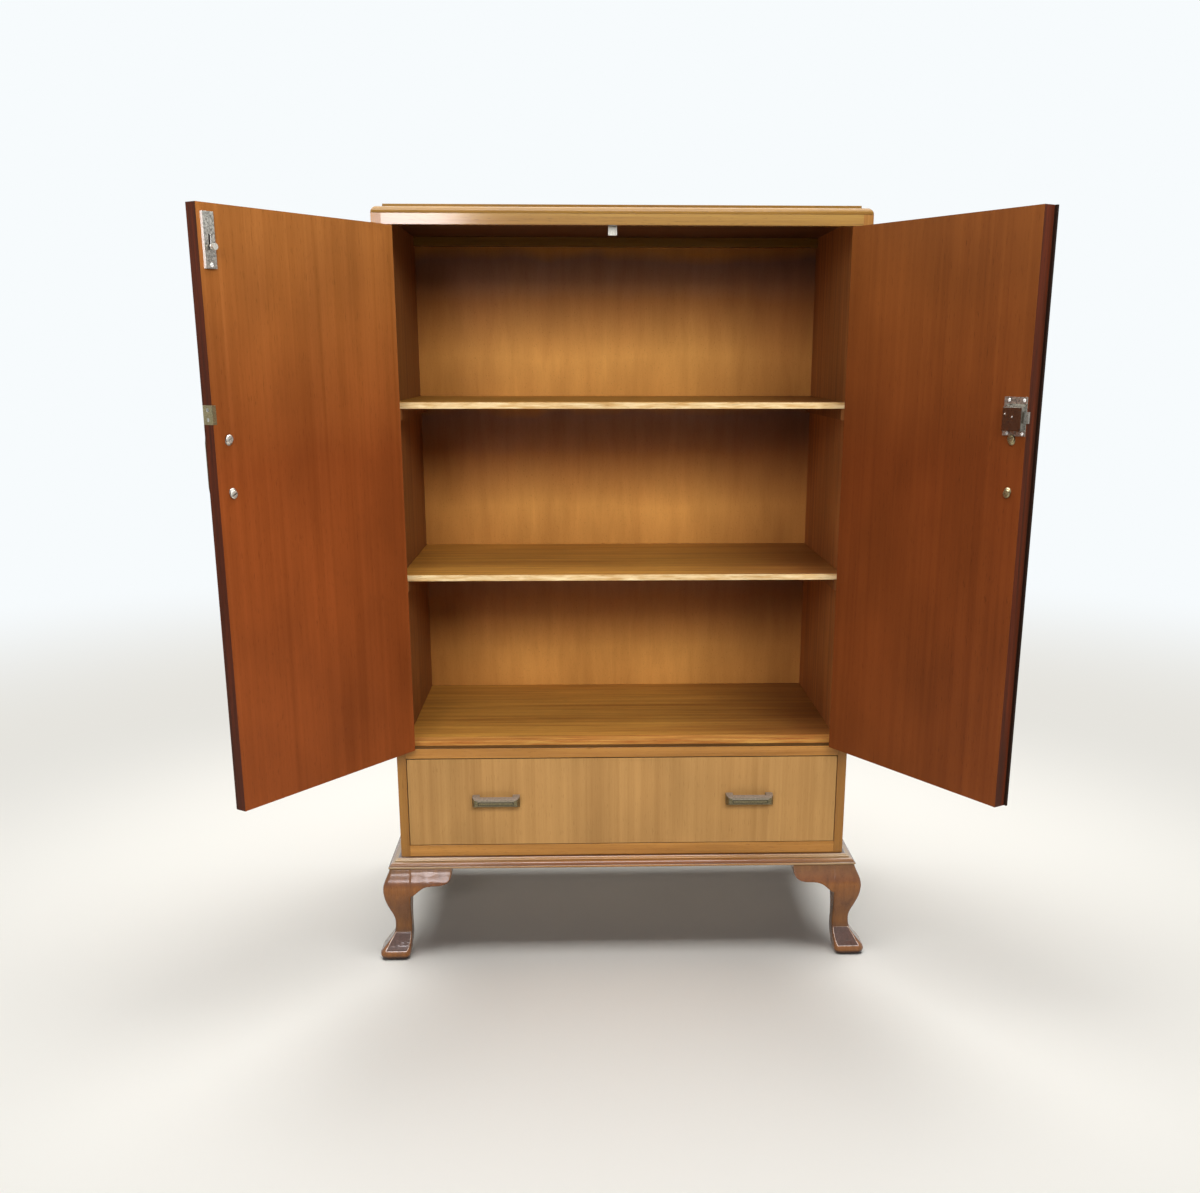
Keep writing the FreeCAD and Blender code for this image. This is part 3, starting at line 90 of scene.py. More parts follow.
class CupboardColours(bpy.types.PropertyGroup):
    left_light: colour("Left door, light", "#ab6f37", "Light bands of the left door's sapele")
    left_dark: colour("Left door, dark", "#7f4c1c", "Dark bands of the left door's sapele")
    # The right door is the left door's sapele, its colours darker partly as painted shade
    right_light: colour("Right door, light", "#8f5526",
                        "Light bands of the right door's sapele")
    right_dark: colour("Right door, dark", "#6d3b18", "Dark bands of the right door's sapele")
    case_light: colour("Case, light", "#b08040", "Light bands of the case's veneer")
    case_dark: colour("Case, dark", "#91622c", "Dark bands of the case's veneer")
    inside_light: colour("Inside, light", "#9c6638",
                         "Light bands of the case sides' inner faces")
    inside_dark: colour("Inside, dark", "#734526", "Dark bands of the case sides' inner faces")
    rail_light: colour("Rails, light", "#b37f3f", "Light bands of the rails")
    rail_dark: colour("Rails, dark", "#90602b", "Dark bands of the rails")
    lipping_light: colour("Floor lipping, light", "#d39d52",
                          "Worn places of the floor's lipping")
    lipping_dark: colour("Floor lipping, dark", "#a86530",
                         "Unworn places of the floor's lipping")
    edge_light: colour("Shelf edge, light", "#e8d2a4", "Bare wood on the shelves' front edges")
    edge_dark: colour("Shelf edge, dark", "#c29a62",
                      "Stained wood on the shelves' front edges")
    drawer_light: colour("Drawer, light", "#b88e57", "Light stripes of the drawer front")
    drawer_dark: colour("Drawer, dark", "#987041", "Dark stripes of the drawer front")
    back_light: colour("Back, light", "#e0a457", "Light parts of the plywood back")
    back_dark: colour("Back, dark", "#bd8443", "Dark parts of the plywood back")
    shelf_light: colour("Shelves, light", "#c48f41", "Light grain of the shelves and floor")
    shelf_dark: colour("Shelves, dark", "#93602a", "Dark grain of the shelves and floor")
    box_light: colour("Drawer box, light", "#c9a873", "Light grain of the drawer's box")
    box_dark: colour("Drawer box, dark", "#a98550", "Dark grain of the drawer's box")
    door_edge: colour("Door edges", "#602914", "Free edges of the doors, painted dark as shade")
    facet: colour("Foot facets", "#553a30", "Painted dark reflection on the feet's facets")
    ridge: colour("Foot ridges", "#e8d8cc", "Painted highlight on the ridges round the feet's facets")
    strip: colour("Closing strip", "#2a1a12", "Painted shade on the closing strip, the edges, the bolt's slot and the heads' rims")
    painted_shade_under_top: colour("Under the top", "#6b4630", "Painted shade on the underside of the top")
    dust: colour("Underside", "#c4b8ac", "Dusty underside of the case")
    leg_light: colour("Legs, light", "#8d5826", "Light grain of the stained beech legs")
    leg_dark: colour("Legs, dark", "#5a3410", "Dark grain of the stained beech legs")
    plinth_light: colour("Plinth, light", "#b78a55", "Light grain of the plinth moulding")
    plinth_dark: colour("Plinth, dark", "#926536", "Dark grain of the plinth moulding")
    nickel: colour("Nickel", "#dedacf", "Plated fittings")
    highlight_nickel: colour("Nickel, painted highlight", "#f9f9fb", "Painted highlight on edges and heads")
    tarnish: colour("Tarnish", "#8f897d", "Tarnished nickel of the lock's cover")
    bronze: colour("Bronze", "#857b5c", "Bronzed pulls")
    highlit_bronze: colour("Bronze, painted highlight", "#a1978b", "Upper bevels of the pulls")
    brass: colour("Brass", "#ada07a", "Brass screws and hinges")
    floor: colour("Floor", "#f0efea", "Studio floor")
    lit_floor: colour("Lit floor", "#e6e4de", "Studio floor away from the cupboard")
    backdrop: colour("Backdrop", "#f7fbfd", "Studio background")


def sizes():
    return bpy.context.scene.cupboard_sizes


def colours():
    return bpy.context.scene.cupboard_colours


# Materials

def add(material, kind, sockets=None, **settings):
    """Add one node with its settings, and with values or links for its sockets."""
    tree = material.node_tree
    node = tree.nodes.new(kind)
    for name, setting in settings.items():
        if name == "stops":
            ramp = node.color_ramp
            while len(ramp.elements) < len(setting):
                ramp.elements.new(1)
            for element, (position, shade) in zip(ramp.elements, setting):
                element.position = position
                element.color = (*shade, 1)
        else:
            setattr(node, name, setting)
    for name, source in (sockets or {}).items():
        if isinstance(source, bpy.types.NodeSocket):
            tree.links.new(source, node.inputs[name])
        else:
            node.inputs[name].default_value = source
    return node


def new_material(name):
    material = bpy.data.materials.new(name)
    material.use_nodes = True
    material.node_tree.nodes.clear()
    return material


def finish_material(material, shader):
    add(material, "ShaderNodeOutputMaterial", {"Surface": shader.outputs[0]})


def shaded(shade, share):
    """A colour brought to a share of its light."""
    return tuple(share * channel for channel in shade)


# The fibres' noise, at this weight, is added to the figure's. Both swing about a half.
FIBRE_WEIGHT = 0.45
MIDDLE = 0.5 + 0.5 * FIBRE_WEIGHT


def wood(name, light, dark, along="z", fibre=0.9, figure=16, run=900, contrast=0.5,
         roughness=0.4, coat=0.0, mottle=0.12, relief=0.1, pores=0.45, stretch=60, tones=(),
         waver=0.05, fades=(), gloss=0.12):
    """A polished wood: figure bands, fine fibres, dark pores and slow clouds.

    along is the axis of the grain. fibre and figure are widths across it and run is the
    length of the figure, in millimetres. A fibre is stretch times as long as it is wide.
    Real fibres and pores are 0.1 to 0.3 mm wide, too fine for the picture, so they are
    drawn about 1 mm wide. A larger contrast is a softer step from dark to light. mottle is
    the depth of the clouds, pores that of the pores, and relief that of the fibres' bump.
    tones are heights in metres, each with the share of red, green and blue that stain, dirt,
    wear and painted light and shade leave there. fades are the same across the width. waver is
    how far the clouds move those places. coat is the thickness of the polish and gloss its
    roughness.
    """
    material = new_material(name)
    place = add(material, "ShaderNodeTexCoord").outputs["Object"]
    noises = []
    for across, lengthways, settings in (
            (figure, run, {"Detail": 3.0, "Roughness": 0.55, "Distortion": 0.4}),
            (fibre, fibre * stretch, {"Detail": 4.0, "Roughness": 0.6}),
            (fibre * 1.1, fibre * stretch * 0.3, {"Detail": 2.0}),
            (110, 190, {"Detail": 2.0})):
        scale = [1 / (across * MM)] * 3
        scale["xyz".index(along)] = 1 / (lengthways * MM)
        grain = add(material, "ShaderNodeMapping", {"Vector": place, "Scale": scale})
        noises.append(add(material, "ShaderNodeTexNoise",
                          {"Vector": grain.outputs[0], "Scale": 1.0, **settings}))
    bands, fibres, flecks, clouds = noises
    mixed = add(material, "ShaderNodeMath",
                {0: fibres.outputs[0], 1: FIBRE_WEIGHT, 2: bands.outputs[0]},
                operation="MULTIPLY_ADD")
    low = MIDDLE - 0.5 * contrast
    share = add(material, "ShaderNodeMapRange",
                {"Value": mixed.outputs[0], "From Min": low, "From Max": low + contrast})
    base = add(material, "ShaderNodeMix", {0: share.outputs[0], 6: (*dark, 1), 7: (*light, 1)},
               data_type="RGBA")
    fleck_share = add(material, "ShaderNodeMapRange",
                      {"Value": flecks.outputs[0], "From Min": 0.36, "From Max": 0.30,
                       "To Max": pores})
    flecked = add(material, "ShaderNodeMix",
                  {0: fleck_share.outputs[0], 6: base.outputs[2],
                   7: (*shaded(dark, 0.35), 1)}, data_type="RGBA")
    cloud_level = add(material, "ShaderNodeMapRange",
                      {"Value": clouds.outputs[0], "From Min": 0.3, "From Max": 0.7,
                       "To Min": 1 - mottle, "To Max": 1 + mottle * 0.5})
    clouded = add(material, "ShaderNodeMix",
                  {0: 1.0, 6: flecked.outputs[2], 7: cloud_level.outputs[0]},
                  data_type="RGBA", blend_type="MULTIPLY")
    for axis, shades in (("Z", tones), ("X", fades)):
        if not shades:
            continue
        lowest, highest = shades[0][0], shades[-1][0]
        distance = add(material, "ShaderNodeSeparateXYZ", {0: place}).outputs[axis]
        wavy = add(material, "ShaderNodeMath", {0: clouds.outputs[0], 1: waver, 2: distance},
                   operation="MULTIPLY_ADD")
        level = add(material, "ShaderNodeMapRange",
                    {"Value": wavy.outputs[0], "From Min": lowest, "From Max": highest})
        tone = add(material, "ShaderNodeValToRGB", {0: level.outputs[0]},
                   stops=[((at - lowest) / (highest - lowest), shares)
                          for at, shares in shades])
        clouded = add(material, "ShaderNodeMix",
                      {0: 1.0, 6: clouded.outputs[2], 7: tone.outputs[0]},
                      data_type="RGBA", blend_type="MULTIPLY")
    rough = add(material, "ShaderNodeMapRange",
                {"Value": fibres.outputs[0], "From Min": 0.3, "From Max": 0.7,
                 "To Min": roughness - 0.06, "To Max": roughness + 0.08})
    bump = add(material, "ShaderNodeBump",
               {"Height": fibres.outputs[0], "Strength": relief, "Distance": 0.2 * MM})
    shader = add(material, "ShaderNodeBsdfPrincipled",
                 {"Base Color": clouded.outputs[2], "Roughness": rough.outputs[0],
                  "Normal": bump.outputs[0], "IOR": 1.5, "Specular IOR Level": 0.1,
                  "Coat Weight": coat, "Coat Roughness": gloss})
    finish_material(material, shader)
    return material


def metal(name, light, dark, roughness, speckle, metallic=0.6):
    """An old plated or cast metal: tarnish in spots and clouds over a soft sheen.

    speckle is the size of the tarnish clouds in millimetres. Their spots are finer than a
    millimetre on the real metal, and are drawn coarser so that they show.
    """
    material = new_material(name)
    place = add(material, "ShaderNodeTexCoord").outputs["Object"]
    spots = add(material, "ShaderNodeTexNoise",
                {"Vector": place, "Scale": 1 / (speckle * MM), "Detail": 5.0,
                 "Roughness": 0.7})
    mask = add(material, "ShaderNodeMapRange",
               {"Value": spots.outputs[0], "From Min": 0.35, "From Max": 0.6})
    base = add(material, "ShaderNodeMix", {0: mask.outputs[0], 6: (*dark, 1), 7: (*light, 1)},
               data_type="RGBA")
    rough = add(material, "ShaderNodeMapRange",
                {"Value": spots.outputs[0], "From Min": 0.3, "From Max": 0.7,
                 "To Min": roughness + 0.15, "To Max": roughness - 0.05})
    shader = add(material, "ShaderNodeBsdfPrincipled",
                 {"Base Color": base.outputs[2], "Roughness": rough.outputs[0],
                  "Metallic": metallic})
    finish_material(material, shader)
    return material


FINISHES = {}


def dress(obj, finish):
    """Give every material slot of an object one finish."""
    material = FINISHES[finish]
    if not obj.data.materials:
        obj.data.materials.append(material)
    for index in range(len(obj.material_slots)):
        obj.material_slots[index].material = material


# Pieces

def deselect():
    bpy.ops.object.select_all(action="DESELECT")


def pick(obj):
    deselect()
    obj.select_set(True)
    bpy.context.view_layer.objects.active = obj


def apply_all(obj):
    pick(obj)
    for modifier in list(obj.modifiers):
        bpy.ops.object.modifier_apply(modifier=modifier.name)


# The insets that cut a pull's groove: width and depth in millimetres, and the material
# index that the face has before each of them, where 1 is the groove's
GROOVE = ((0.8, 0.0, 0), (0.8, -0.8, 1), (0.8, 0.8, 1), (0.0, 0.0, 0))


def groove_face(piece, front):
    """Sink a narrow groove round a pull's front face, which leaves a raised panel."""
    while len(piece.data.materials) < 2:
        piece.data.materials.append(None)
    face = max(piece.data.polygons,
               key=lambda f: f.center.dot(front) if f.normal.dot(front) > 0.95 else -9)
    number = face.index
    bpy.ops.object.mode_set(mode="EDIT")
    bpy.ops.mesh.select_mode(type="FACE")
    bpy.ops.mesh.select_all(action="DESELECT")
    bpy.ops.object.mode_set(mode="OBJECT")
    piece.data.polygons[number].select = True
    for width, depth, groove in GROOVE:
        for face in piece.data.polygons:
            if face.select:
                face.material_index = groove
        if width:
            bpy.ops.object.mode_set(mode="EDIT")
            bpy.ops.mesh.inset(thickness=width * MM, depth=depth * MM)
            bpy.ops.object.mode_set(mode="OBJECT")


# Corners nearer than this are one, and faces flatter than this are one
MERGE, FLAT = 0.005 * MM, math.radians(0.6)
# Edges sharper than the first are rounded, and edges flatter than the second shade smooth
ROUND_ABOVE, SMOOTH_BELOW = math.radians(35), math.radians(40)


def merged_copy(node, ending):
    """A copy of a CAD solid's mesh whose faces share their corners."""
    piece = bpy.data.objects.new(node + ending, frame["nodes"][node].data.copy())
    bpy.context.scene.collection.objects.link(piece)
    pick(piece)
    bpy.ops.object.mode_set(mode="EDIT")
    bpy.ops.mesh.select_all(action="SELECT")
    bpy.ops.mesh.remove_doubles(threshold=MERGE)
    bpy.ops.object.mode_set(mode="OBJECT")
    return piece


def eased_copy(node, ease, segments=2, front=None):
    """A merged copy of a CAD solid with its sharp edges rounded, and with a groove in the
    face that looks towards front."""
    piece = merged_copy(node, "_eased")
    bpy.ops.object.mode_set(mode="EDIT")
    bpy.ops.mesh.dissolve_limited(angle_limit=FLAT)
    bpy.ops.mesh.normals_make_consistent(inside=False)
    bpy.ops.object.mode_set(mode="OBJECT")
    if front:
        groove_face(piece, front)
    bevel = piece.modifiers.new("Ease", "BEVEL")
    bevel.width = ease
    bevel.segments = segments
    bevel.limit_method = "ANGLE"
    bevel.angle_limit = ROUND_ABOVE
    bevel.use_clamp_overlap = True
    apply_all(piece)
    bpy.ops.object.shade_smooth_by_angle(angle=SMOOTH_BELOW)
    steady = piece.modifiers.new("Steady normals", "WEIGHTED_NORMAL")
    steady.keep_sharp = True
    apply_all(piece)
    return piece


def paint_faces(piece, finish, chosen):
    """Give a second finish to the faces that a test chooses."""
    piece.data.materials.append(FINISHES[finish])
    index = len(piece.data.materials) - 1
    for face in piece.data.polygons:
        if chosen(face):
            face.material_index = index


SLOT_OF = {row["node"]: row["material_slot"] for row in frame["record"]["subparts"]}
BODY_OF = {node: body for body, nodes in
           frame["record"]["behaviour"]["bodies"].items() for node in nodes}


def stand_for(piece, node, finish):
    """Let a piece take a CAD node's place on its body, hide the node, and dress the piece in a
    finish.
    """
    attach(piece, BODY_OF[node])
    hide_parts(node)
    dress(piece, finish)


BOARDS = {
    "left_side_panel": "case", "right_side_panel": "case", "top_board": "top",
    "top_front_rail": "fascia", "top_back_rail": "top", "cupboard_floor": "shelf",
    "floor_front_lipping": "lipping", "door_rail": "rail", "bottom_rail": "rail",
    "upper_shelf": "shelf", "lower_shelf": "shelf", "drawer_front": "drawer",
    "drawer_left_side": "box", "drawer_right_side": "box", "drawer_back": "cross_box",
    "back_panel": "plain_back", "plinth_front_moulding": "moulding",
    "plinth_left_moulding": "side_moulding", "plinth_right_moulding": "side_moulding",
}
# The board's face that has another finish, by the direction that it looks in. The right side's
# inner face is painted lighter as painted light, and the top's underside and the front rail's
# back darker as painted shade.
SECOND_FINISHES = {
    "left_side_panel": ("inside", (1, 0, 0)), "right_side_panel": ("painted_light_inside", (-1, 0, 0)),
    "upper_shelf": ("worn_edge", (0, -1, 0)), "lower_shelf": ("worn_edge", (0, -1, 0)),
    "drawer_front": ("cross_box", (0, 1, 0)), "top_board": ("painted_shade_under_top", (0, 0, -1)),
    "top_front_rail": ("painted_shade_under_top", (0, 1, 0)), "back_panel": ("back", (0, -1, 0)),
}
# The boards whose edges are painted dark as the shade in the gaps round the drawer and the
# doors
GAP_SHADE_EDGES = ("drawer_front", "door_rail")


class OBJECT_OT_cupboard_boards(bpy.types.Operator):
    """Round the edges of the case's boards and give them their veneer"""
    bl_idname = "object.cupboard_boards"
    bl_label = "Case boards"

    def execute(self, context):
        for node, finish in BOARDS.items():
            piece = eased_copy(node, sizes().board_ease)
            stand_for(piece, node, finish)
            if node in SECOND_FINISHES:
                second, way = SECOND_FINISHES[node]
                paint_faces(piece, second, lambda f: f.normal.dot(Vector(way)) > 0.7)
            # Painted shade on the edges round the gaps
            if node in GAP_SHADE_EDGES:
                paint_faces(piece, "drawer_edge", lambda f: abs(f.normal.y) < 0.8)
        return {"FINISHED"}


def leaf(hand):
    """The directions of an open door: from the hinge to the free edge, and out of its
    inner face."""
    faces = frame["nodes"][hand + "_door_panel"].data.polygons
    out = max((face for face in faces if face.normal.y < -0.2), key=lambda f: f.area).normal
    along = Vector((out.y, -out.x, 0))
    return (along if along.y < 0 else -along), out.copy()


class OBJECT_OT_cupboard_doors(bpy.types.Operator):
    """Round the edges of the doors and give them their veneer"""
    bl_idname = "object.cupboard_doors"
    bl_label = "Doors"

    def execute(self, context):
        for hand in ("left", "right"):
            piece = eased_copy(hand + "_door_panel", sizes().door_ease, 3)
            stand_for(piece, hand + "_door_panel", hand + "_door")
            along = leaf(hand)[0]
            # Painted shade: the free edge darker than the door's faces
            paint_faces(piece, "door_edge", lambda f: f.normal.dot(along) > 0.7)
        # The closing strip is near black as painted shade, all but its outer face, veneered
        # like the right door
        strip = eased_copy("closing_strip", sizes().board_ease)
        stand_for(strip, "closing_strip", "strip")
        outside = -leaf("right")[1]
        paint_faces(strip, "right_door", lambda f: f.normal.dot(outside) > 0.7)
        return {"FINISHED"}


def reach_into_leg(mesh, axis):
    """Push the brackets' ends under the legs' rounded corners, which closes the seam."""
    far = max(abs(vertex.co[axis]) for vertex in mesh.vertices)
    for vertex in mesh.vertices:
        if far - abs(vertex.co[axis]) < 0.3 * MM:
            vertex.co[axis] += math.copysign(sizes().bracket_reach, vertex.co[axis])


# The band of heights on a foot that holds its facets
FACETS_FROM, FACETS_TO = 16 * MM, 43 * MM


def sink_facets(piece):
    """Hollow the outward facets on top of a foot, inside a rim, and return their points."""
    mesh = piece.data
    outward = [math.copysign(1, sum(v.co[axis] for v in mesh.vertices)) for axis in (0, 1)]
    sunk = set()
    for vertex in mesh.vertices:
        normal = vertex.normal
        if FACETS_FROM < vertex.co.z < FACETS_TO and normal.z > 0.3:
            for axis in (0, 1):
                if normal[axis] * outward[axis] > 0.4 and abs(normal[1 - axis]) < 0.25:
                    sunk.add(vertex.index)
    for index in sunk:
        vertex = mesh.vertices[index]
        vertex.co -= vertex.normal * sizes().facet_depth
    return sunk


def smooth(piece, name, rounds):
    """Take the steps off a carved surface."""
    modifier = piece.modifiers.new(name, "SMOOTH")
    modifier.factor = 0.5
    modifier.iterations = rounds
    apply_all(piece)


class OBJECT_OT_cupboard_legs(bpy.types.Operator):
    """Carve the legs and their brackets with soft edges, and hollow the feet's facets"""
    bl_idname = "object.cupboard_legs"
    bl_label = "Legs"

    def execute(self, context):
        for node in ("front_left_leg", "front_right_leg", "rear_left_leg",
                     "rear_right_leg", "front_leg_brackets", "side_leg_brackets"):
            piece = merged_copy(node, "_carved")
            if "brackets" in node:
                reach_into_leg(piece.data, 0 if node.startswith("front") else 1)
            carve = piece.modifiers.new("Carve", "REMESH")
            carve.mode = "VOXEL"
            carve.voxel_size = sizes().carving
            apply_all(piece)
            smooth(piece, "Soften", 8)
            sunk = set() if "brackets" in node else sink_facets(piece)
            smooth(piece, "Sand", 2)
            bpy.ops.object.shade_smooth_by_angle(angle=math.radians(60))
            stand_for(piece, node, "leg")
            if sunk:
                # Painted dark reflection on the facets, and painted highlight on the ridges
                # round them
                paint_faces(piece, "facet", lambda f: sunk.issuperset(f.vertices))
                paint_faces(piece, "ridge",
                            lambda f: 0 < len(sunk.intersection(f.vertices)) < 4)
        return {"FINISHED"}


# Radius and height in millimetres of each kind of round head
HEADS = {"collar": (3.3, 4), "plate_screw": (2.9, 2.6), "lock_screw": (2.5, 2.2),
         "rivet": (1.1, 0.7), "pull_screw": (6.1, 4.1)}
# How far the collar stands off the bolt's plate, and the pull screws' crowns sink in
COLLAR_LIFT, CROWN_SEAT = 2 * MM, 1.9 * MM
# How far the screws' driving slots are turned
SLOT_TURN = math.radians(25)
# Places on the lock as shares of its plate and cover, along the door and upwards
LOCK_SCREWS = ((0.22, 0.068), (0.878, 0.068), (0.22, 0.917), (0.878, 0.917))
LOCK_RIVETS = ((0.51, 0.52), (0.12, 0.62))


def dome(name, kind, place, out, finish, body, slotted=True):
    """A domed head, with its driving slot if it is a screw: a drum whose rim is rounded."""
    radius, height = [measure * MM for measure in HEADS[kind]]
    deselect()
    bpy.ops.mesh.primitive_cylinder_add(vertices=32, radius=radius, depth=height)
    piece = bpy.context.active_object
    piece.name = name
    crown = piece.modifiers.new("Crown", "BEVEL")
    crown.limit_method = "ANGLE"
    crown.width = 0.92 * min(radius, height)
    crown.segments = 6
    apply_all(piece)
    if slotted:
        bpy.ops.mesh.primitive_cube_add(size=1, location=(0, 0, height / 2))
        cutter = bpy.context.active_object
        cutter.scale = (3 * radius, 0.3 * radius, 0.5 * height)
        groove = piece.modifiers.new("Slot", "BOOLEAN")
        groove.object = cutter
        groove.operation = "DIFFERENCE"
        groove.solver = "EXACT"
        apply_all(piece)
        bpy.data.objects.remove(cutter)
    pick(piece)
    bpy.ops.object.shade_smooth_by_angle(angle=SMOOTH_BELOW)
    piece.matrix_world = (Matrix.Translation(place)
                          @ out.to_track_quat("Z", "Y").to_matrix().to_4x4()
                          @ Matrix.Rotation(SLOT_TURN, 4, "Z"))
    bpy.ops.object.transform_apply(location=True, rotation=True, scale=True)
    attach(piece, body)
    dress(piece, finish)
    # Painted shade: a dark ring round the head's rim, below its crown
    paint_faces(piece, "strip", lambda f: f.normal.dot(out) < 0.35)


def on_fitting(hand, node, share_along, share_up):
    """A place on a fitting's outer face, by its shares along the door and upwards, and the
    way out of that face."""
    along, out = leaf(hand)
    places = [v.co for v in frame["nodes"][node].data.vertices]
    start, end = [limit(p.dot(along) for p in places) for limit in (min, max)]
    low, high = [limit(p.z for p in places) for limit in (min, max)]
    face = max(p.dot(out) for p in places)
    return (along * (start + share_along * (end - start)) + out * face
            + Vector((0, 0, low + share_up * (high - low)))), out


class OBJECT_OT_cupboard_bolt(bpy.types.Operator):
    """Round the door bolt, its plate and its keep, and add the collar and the screw"""
    bl_idname = "object.cupboard_bolt"
    bl_label = "Door bolt"

    def execute(self, context):
        knob, out = on_fitting("left", "bolt_plate", 0.5, 0.38)
        along = leaf("left")[0]
        bolt = eased_copy("door_bolt", sizes().metal_ease)
        stand_for(bolt, "door_bolt", "bright_nickel")
        # Painted shade: the bolt's face seen through the plate's slot is near black
        paint_faces(bolt, "strip",
                    lambda f: f.normal.dot(out) > 0.9 and (f.center - knob).dot(out) < 0)
        dome("bolt_collar", "collar", knob + out * COLLAR_LIFT, out, "bright_nickel",
             BODY_OF["door_bolt"], slotted=False)
        plate = eased_copy("bolt_plate", 3 * sizes().metal_ease, 3)
        stand_for(plate, "bolt_plate", "nickel")
        # Painted highlight: the plate's flank towards the free edge nearly white
        paint_faces(plate, "highlight_nickel", lambda f: f.normal.dot(along) > 0.15)
        place, out = on_fitting("left", "bolt_plate", 0.5, 0.065)
        # Its head is painted nearly white as a painted highlight
        dome("bolt_screw", "plate_screw", place, out, "highlight_nickel", "left_door")
        stand_for(eased_copy("bolt_keep", sizes().metal_ease), "bolt_keep", "bright_nickel")
        return {"FINISHED"}


class OBJECT_OT_cupboard_lock(bpy.types.Operator):
    """Round the rim lock and its strike plate, and add the screws and the rivets"""
    bl_idname = "object.cupboard_lock"
    bl_label = "Rim lock"

    def execute(self, context):
        for node, finish in (("lock_cover", "mirror_nickel"), ("lock_back_plate", "nickel"),
                             ("lock_bolt", "dull_nickel"), ("strike_plate", "brass")):
            stand_for(eased_copy(node, sizes().metal_ease), node, finish)
        # The screws' heads are painted nearly white as a painted highlight
        for index, shares in enumerate(LOCK_SCREWS):
            place, out = on_fitting("right", "lock_back_plate", *shares)
            dome(f"lock_screw_{index}", "lock_screw", place, out, "highlight_nickel",
                 "right_door")
        for index, shares in enumerate(LOCK_RIVETS):
            place, out = on_fitting("right", "lock_cover", *shares)
            dome(f"lock_rivet_{index}", "rivet", place, out, "bright_nickel", "right_door",
                 slotted=False)
        return {"FINISHED"}


class OBJECT_OT_cupboard_pulls(bpy.types.Operator):
    """Groove the pulls' fronts, darken the grooves, and crown the door pulls' screws"""
    bl_idname = "object.cupboard_pulls"
    bl_label = "Pulls"

    def execute(self, context):
        for node in ("left_door_pull", "right_door_pull", "drawer_left_pull",
                     "drawer_right_pull"):
            hand = node.split("_")[0]
            front = Vector((0, -1, 0)) if hand == "drawer" else -leaf(hand)[1]
            pull = eased_copy(node, 0.6 * sizes().metal_ease, 2, front)
            stand_for(pull, node, "bronze")
            pull.material_slots[1].material = FINISHES["dark_bronze"]
            # Painted highlight on the upward-facing bevels
            paint_faces(pull, "highlit_bronze",
                        lambda f: f.normal.z > 0.25 and f.material_index == 0)
        for hand, finish in (("left", "bright_nickel"), ("right", "brass")):
            for index, share in enumerate((0.04, 0.96)):
                place, out = on_fitting(hand, hand + "_door_pull_screws", 0.5, share)
                dome(f"{hand}_dome_{index}", "pull_screw", place - out * CROWN_SEAT, out,
                     finish, hand + "_door")
        return {"FINISHED"}


def door_finishes(c):
    # Sapele veneer, sliced, stained and polished: long soft ribbons under a low sheen. The
    # tones
    # are painted light and shade: lighter towards the top, darker and redder below.
    sapele = {"figure": 11, "contrast": 1.15, "roughness": 0.42, "mottle": 0.18}
    FINISHES["left_door"] = wood("Sapele veneer, left", c.left_light, c.left_dark, **sapele,
                                 tones=((0.88, (0.7, 0.44, 0.43)), (1.2, (0.92, 0.88, 0.9))))
    FINISHES["right_door"] = wood("Sapele veneer, right", c.right_light, c.right_dark,
                                  **sapele, tones=((0.3, (0.8, 0.65, 0.67)),
                                                   (0.88, (0.71, 0.53, 0.55)),
                                                   (1.2, (0.87, 0.85, 0.86))))
    # Solid lipping on the free edges: deep red brown, nearly without figure, painted dark as
    # painted shade
    FINISHES["door_edge"] = wood("Door edge, painted shade", c.door_edge, c.strip, figure=6, run=300)
    # Painted shade: almost black and dull, for the closing strip, the bolt's slot and the
    # heads' rims
    FINISHES["strip"] = wood("Near black painted shade", c.strip, shaded(c.strip, 0.5), figure=6,
                             run=300)


def case_finishes(c):
    # Sliced walnut veneer, polished: golden brown stripes, duller towards the floor
    FINISHES["case"] = wood("Walnut veneer", c.case_light, c.case_dark, fibre=1.1, figure=14,
                            run=500, coat=0.4,
                            tones=((0.2, (0.8, 0.75, 0.65)), (1.2, (0.9, 0.85, 0.75))))
    # Walnut under a thick smooth polish, painted pale and bluish towards the upper edge as a
    # painted reflection, and darker towards the lower edge. The left end is browner, the right
    # end more yellow.
    low, high = [corner[2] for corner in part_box("top_front_rail")]
    FINISHES["fascia"] = wood("Polished walnut", c.case_light, c.case_dark, "x", fibre=1.0,
                              figure=7, run=500, roughness=0.4, coat=0.9, relief=0.02,
                              tones=((low, (0.75, 0.7, 0.65)),
                                     (low + 0.2 * (high - low), (0.95, 0.95, 0.9)),
                                     (high, (1.1, 1.22, 1.35))), waver=0.0,
                              fades=((-0.35, (0.78, 0.8, 0.75)), (0.35, (0.92, 1, 0.72))))
    # Solid walnut, moulded and polished: olive brown, with a soft gloss on the ovolo edge
    dim = (0.62, 0.65, 0.42)
    FINISHES["top"] = wood("Walnut lipping", c.case_light, c.case_dark, "x", figure=9,
                           run=400, roughness=0.3, coat=0.25, tones=((1.2, dim), (1.3, dim)))
    # Solid walnut, planed and polished: warm, close grain that runs across the front
    FINISHES["rail"] = wood("Walnut rail", c.rail_light, c.rail_dark, "x", figure=9, run=400,
                            roughness=0.35, coat=0.3)
    # Solid lipping rubbed by what is put in and taken out: bare tan patches in the stain
    FINISHES["lipping"] = wood("Worn lipping", c.lipping_light, c.lipping_dark, "x", figure=7,
                               run=120, contrast=0.3)
    # Painted shade on the top board's underside and the front rail's back, where little light
    # reaches: plain, dark and dull. The bottom board is grey with dust underneath.
    FINISHES["painted_shade_under_top"] = wood("Painted shade under the top", c.painted_shade_under_top,
                                   shaded(c.painted_shade_under_top, 0.6), "x")
    FINISHES["dusty"] = wood("Dusty plywood", c.dust, shaded(c.dust, 0.8), "x", roughness=0.7,
                             pores=0.1)


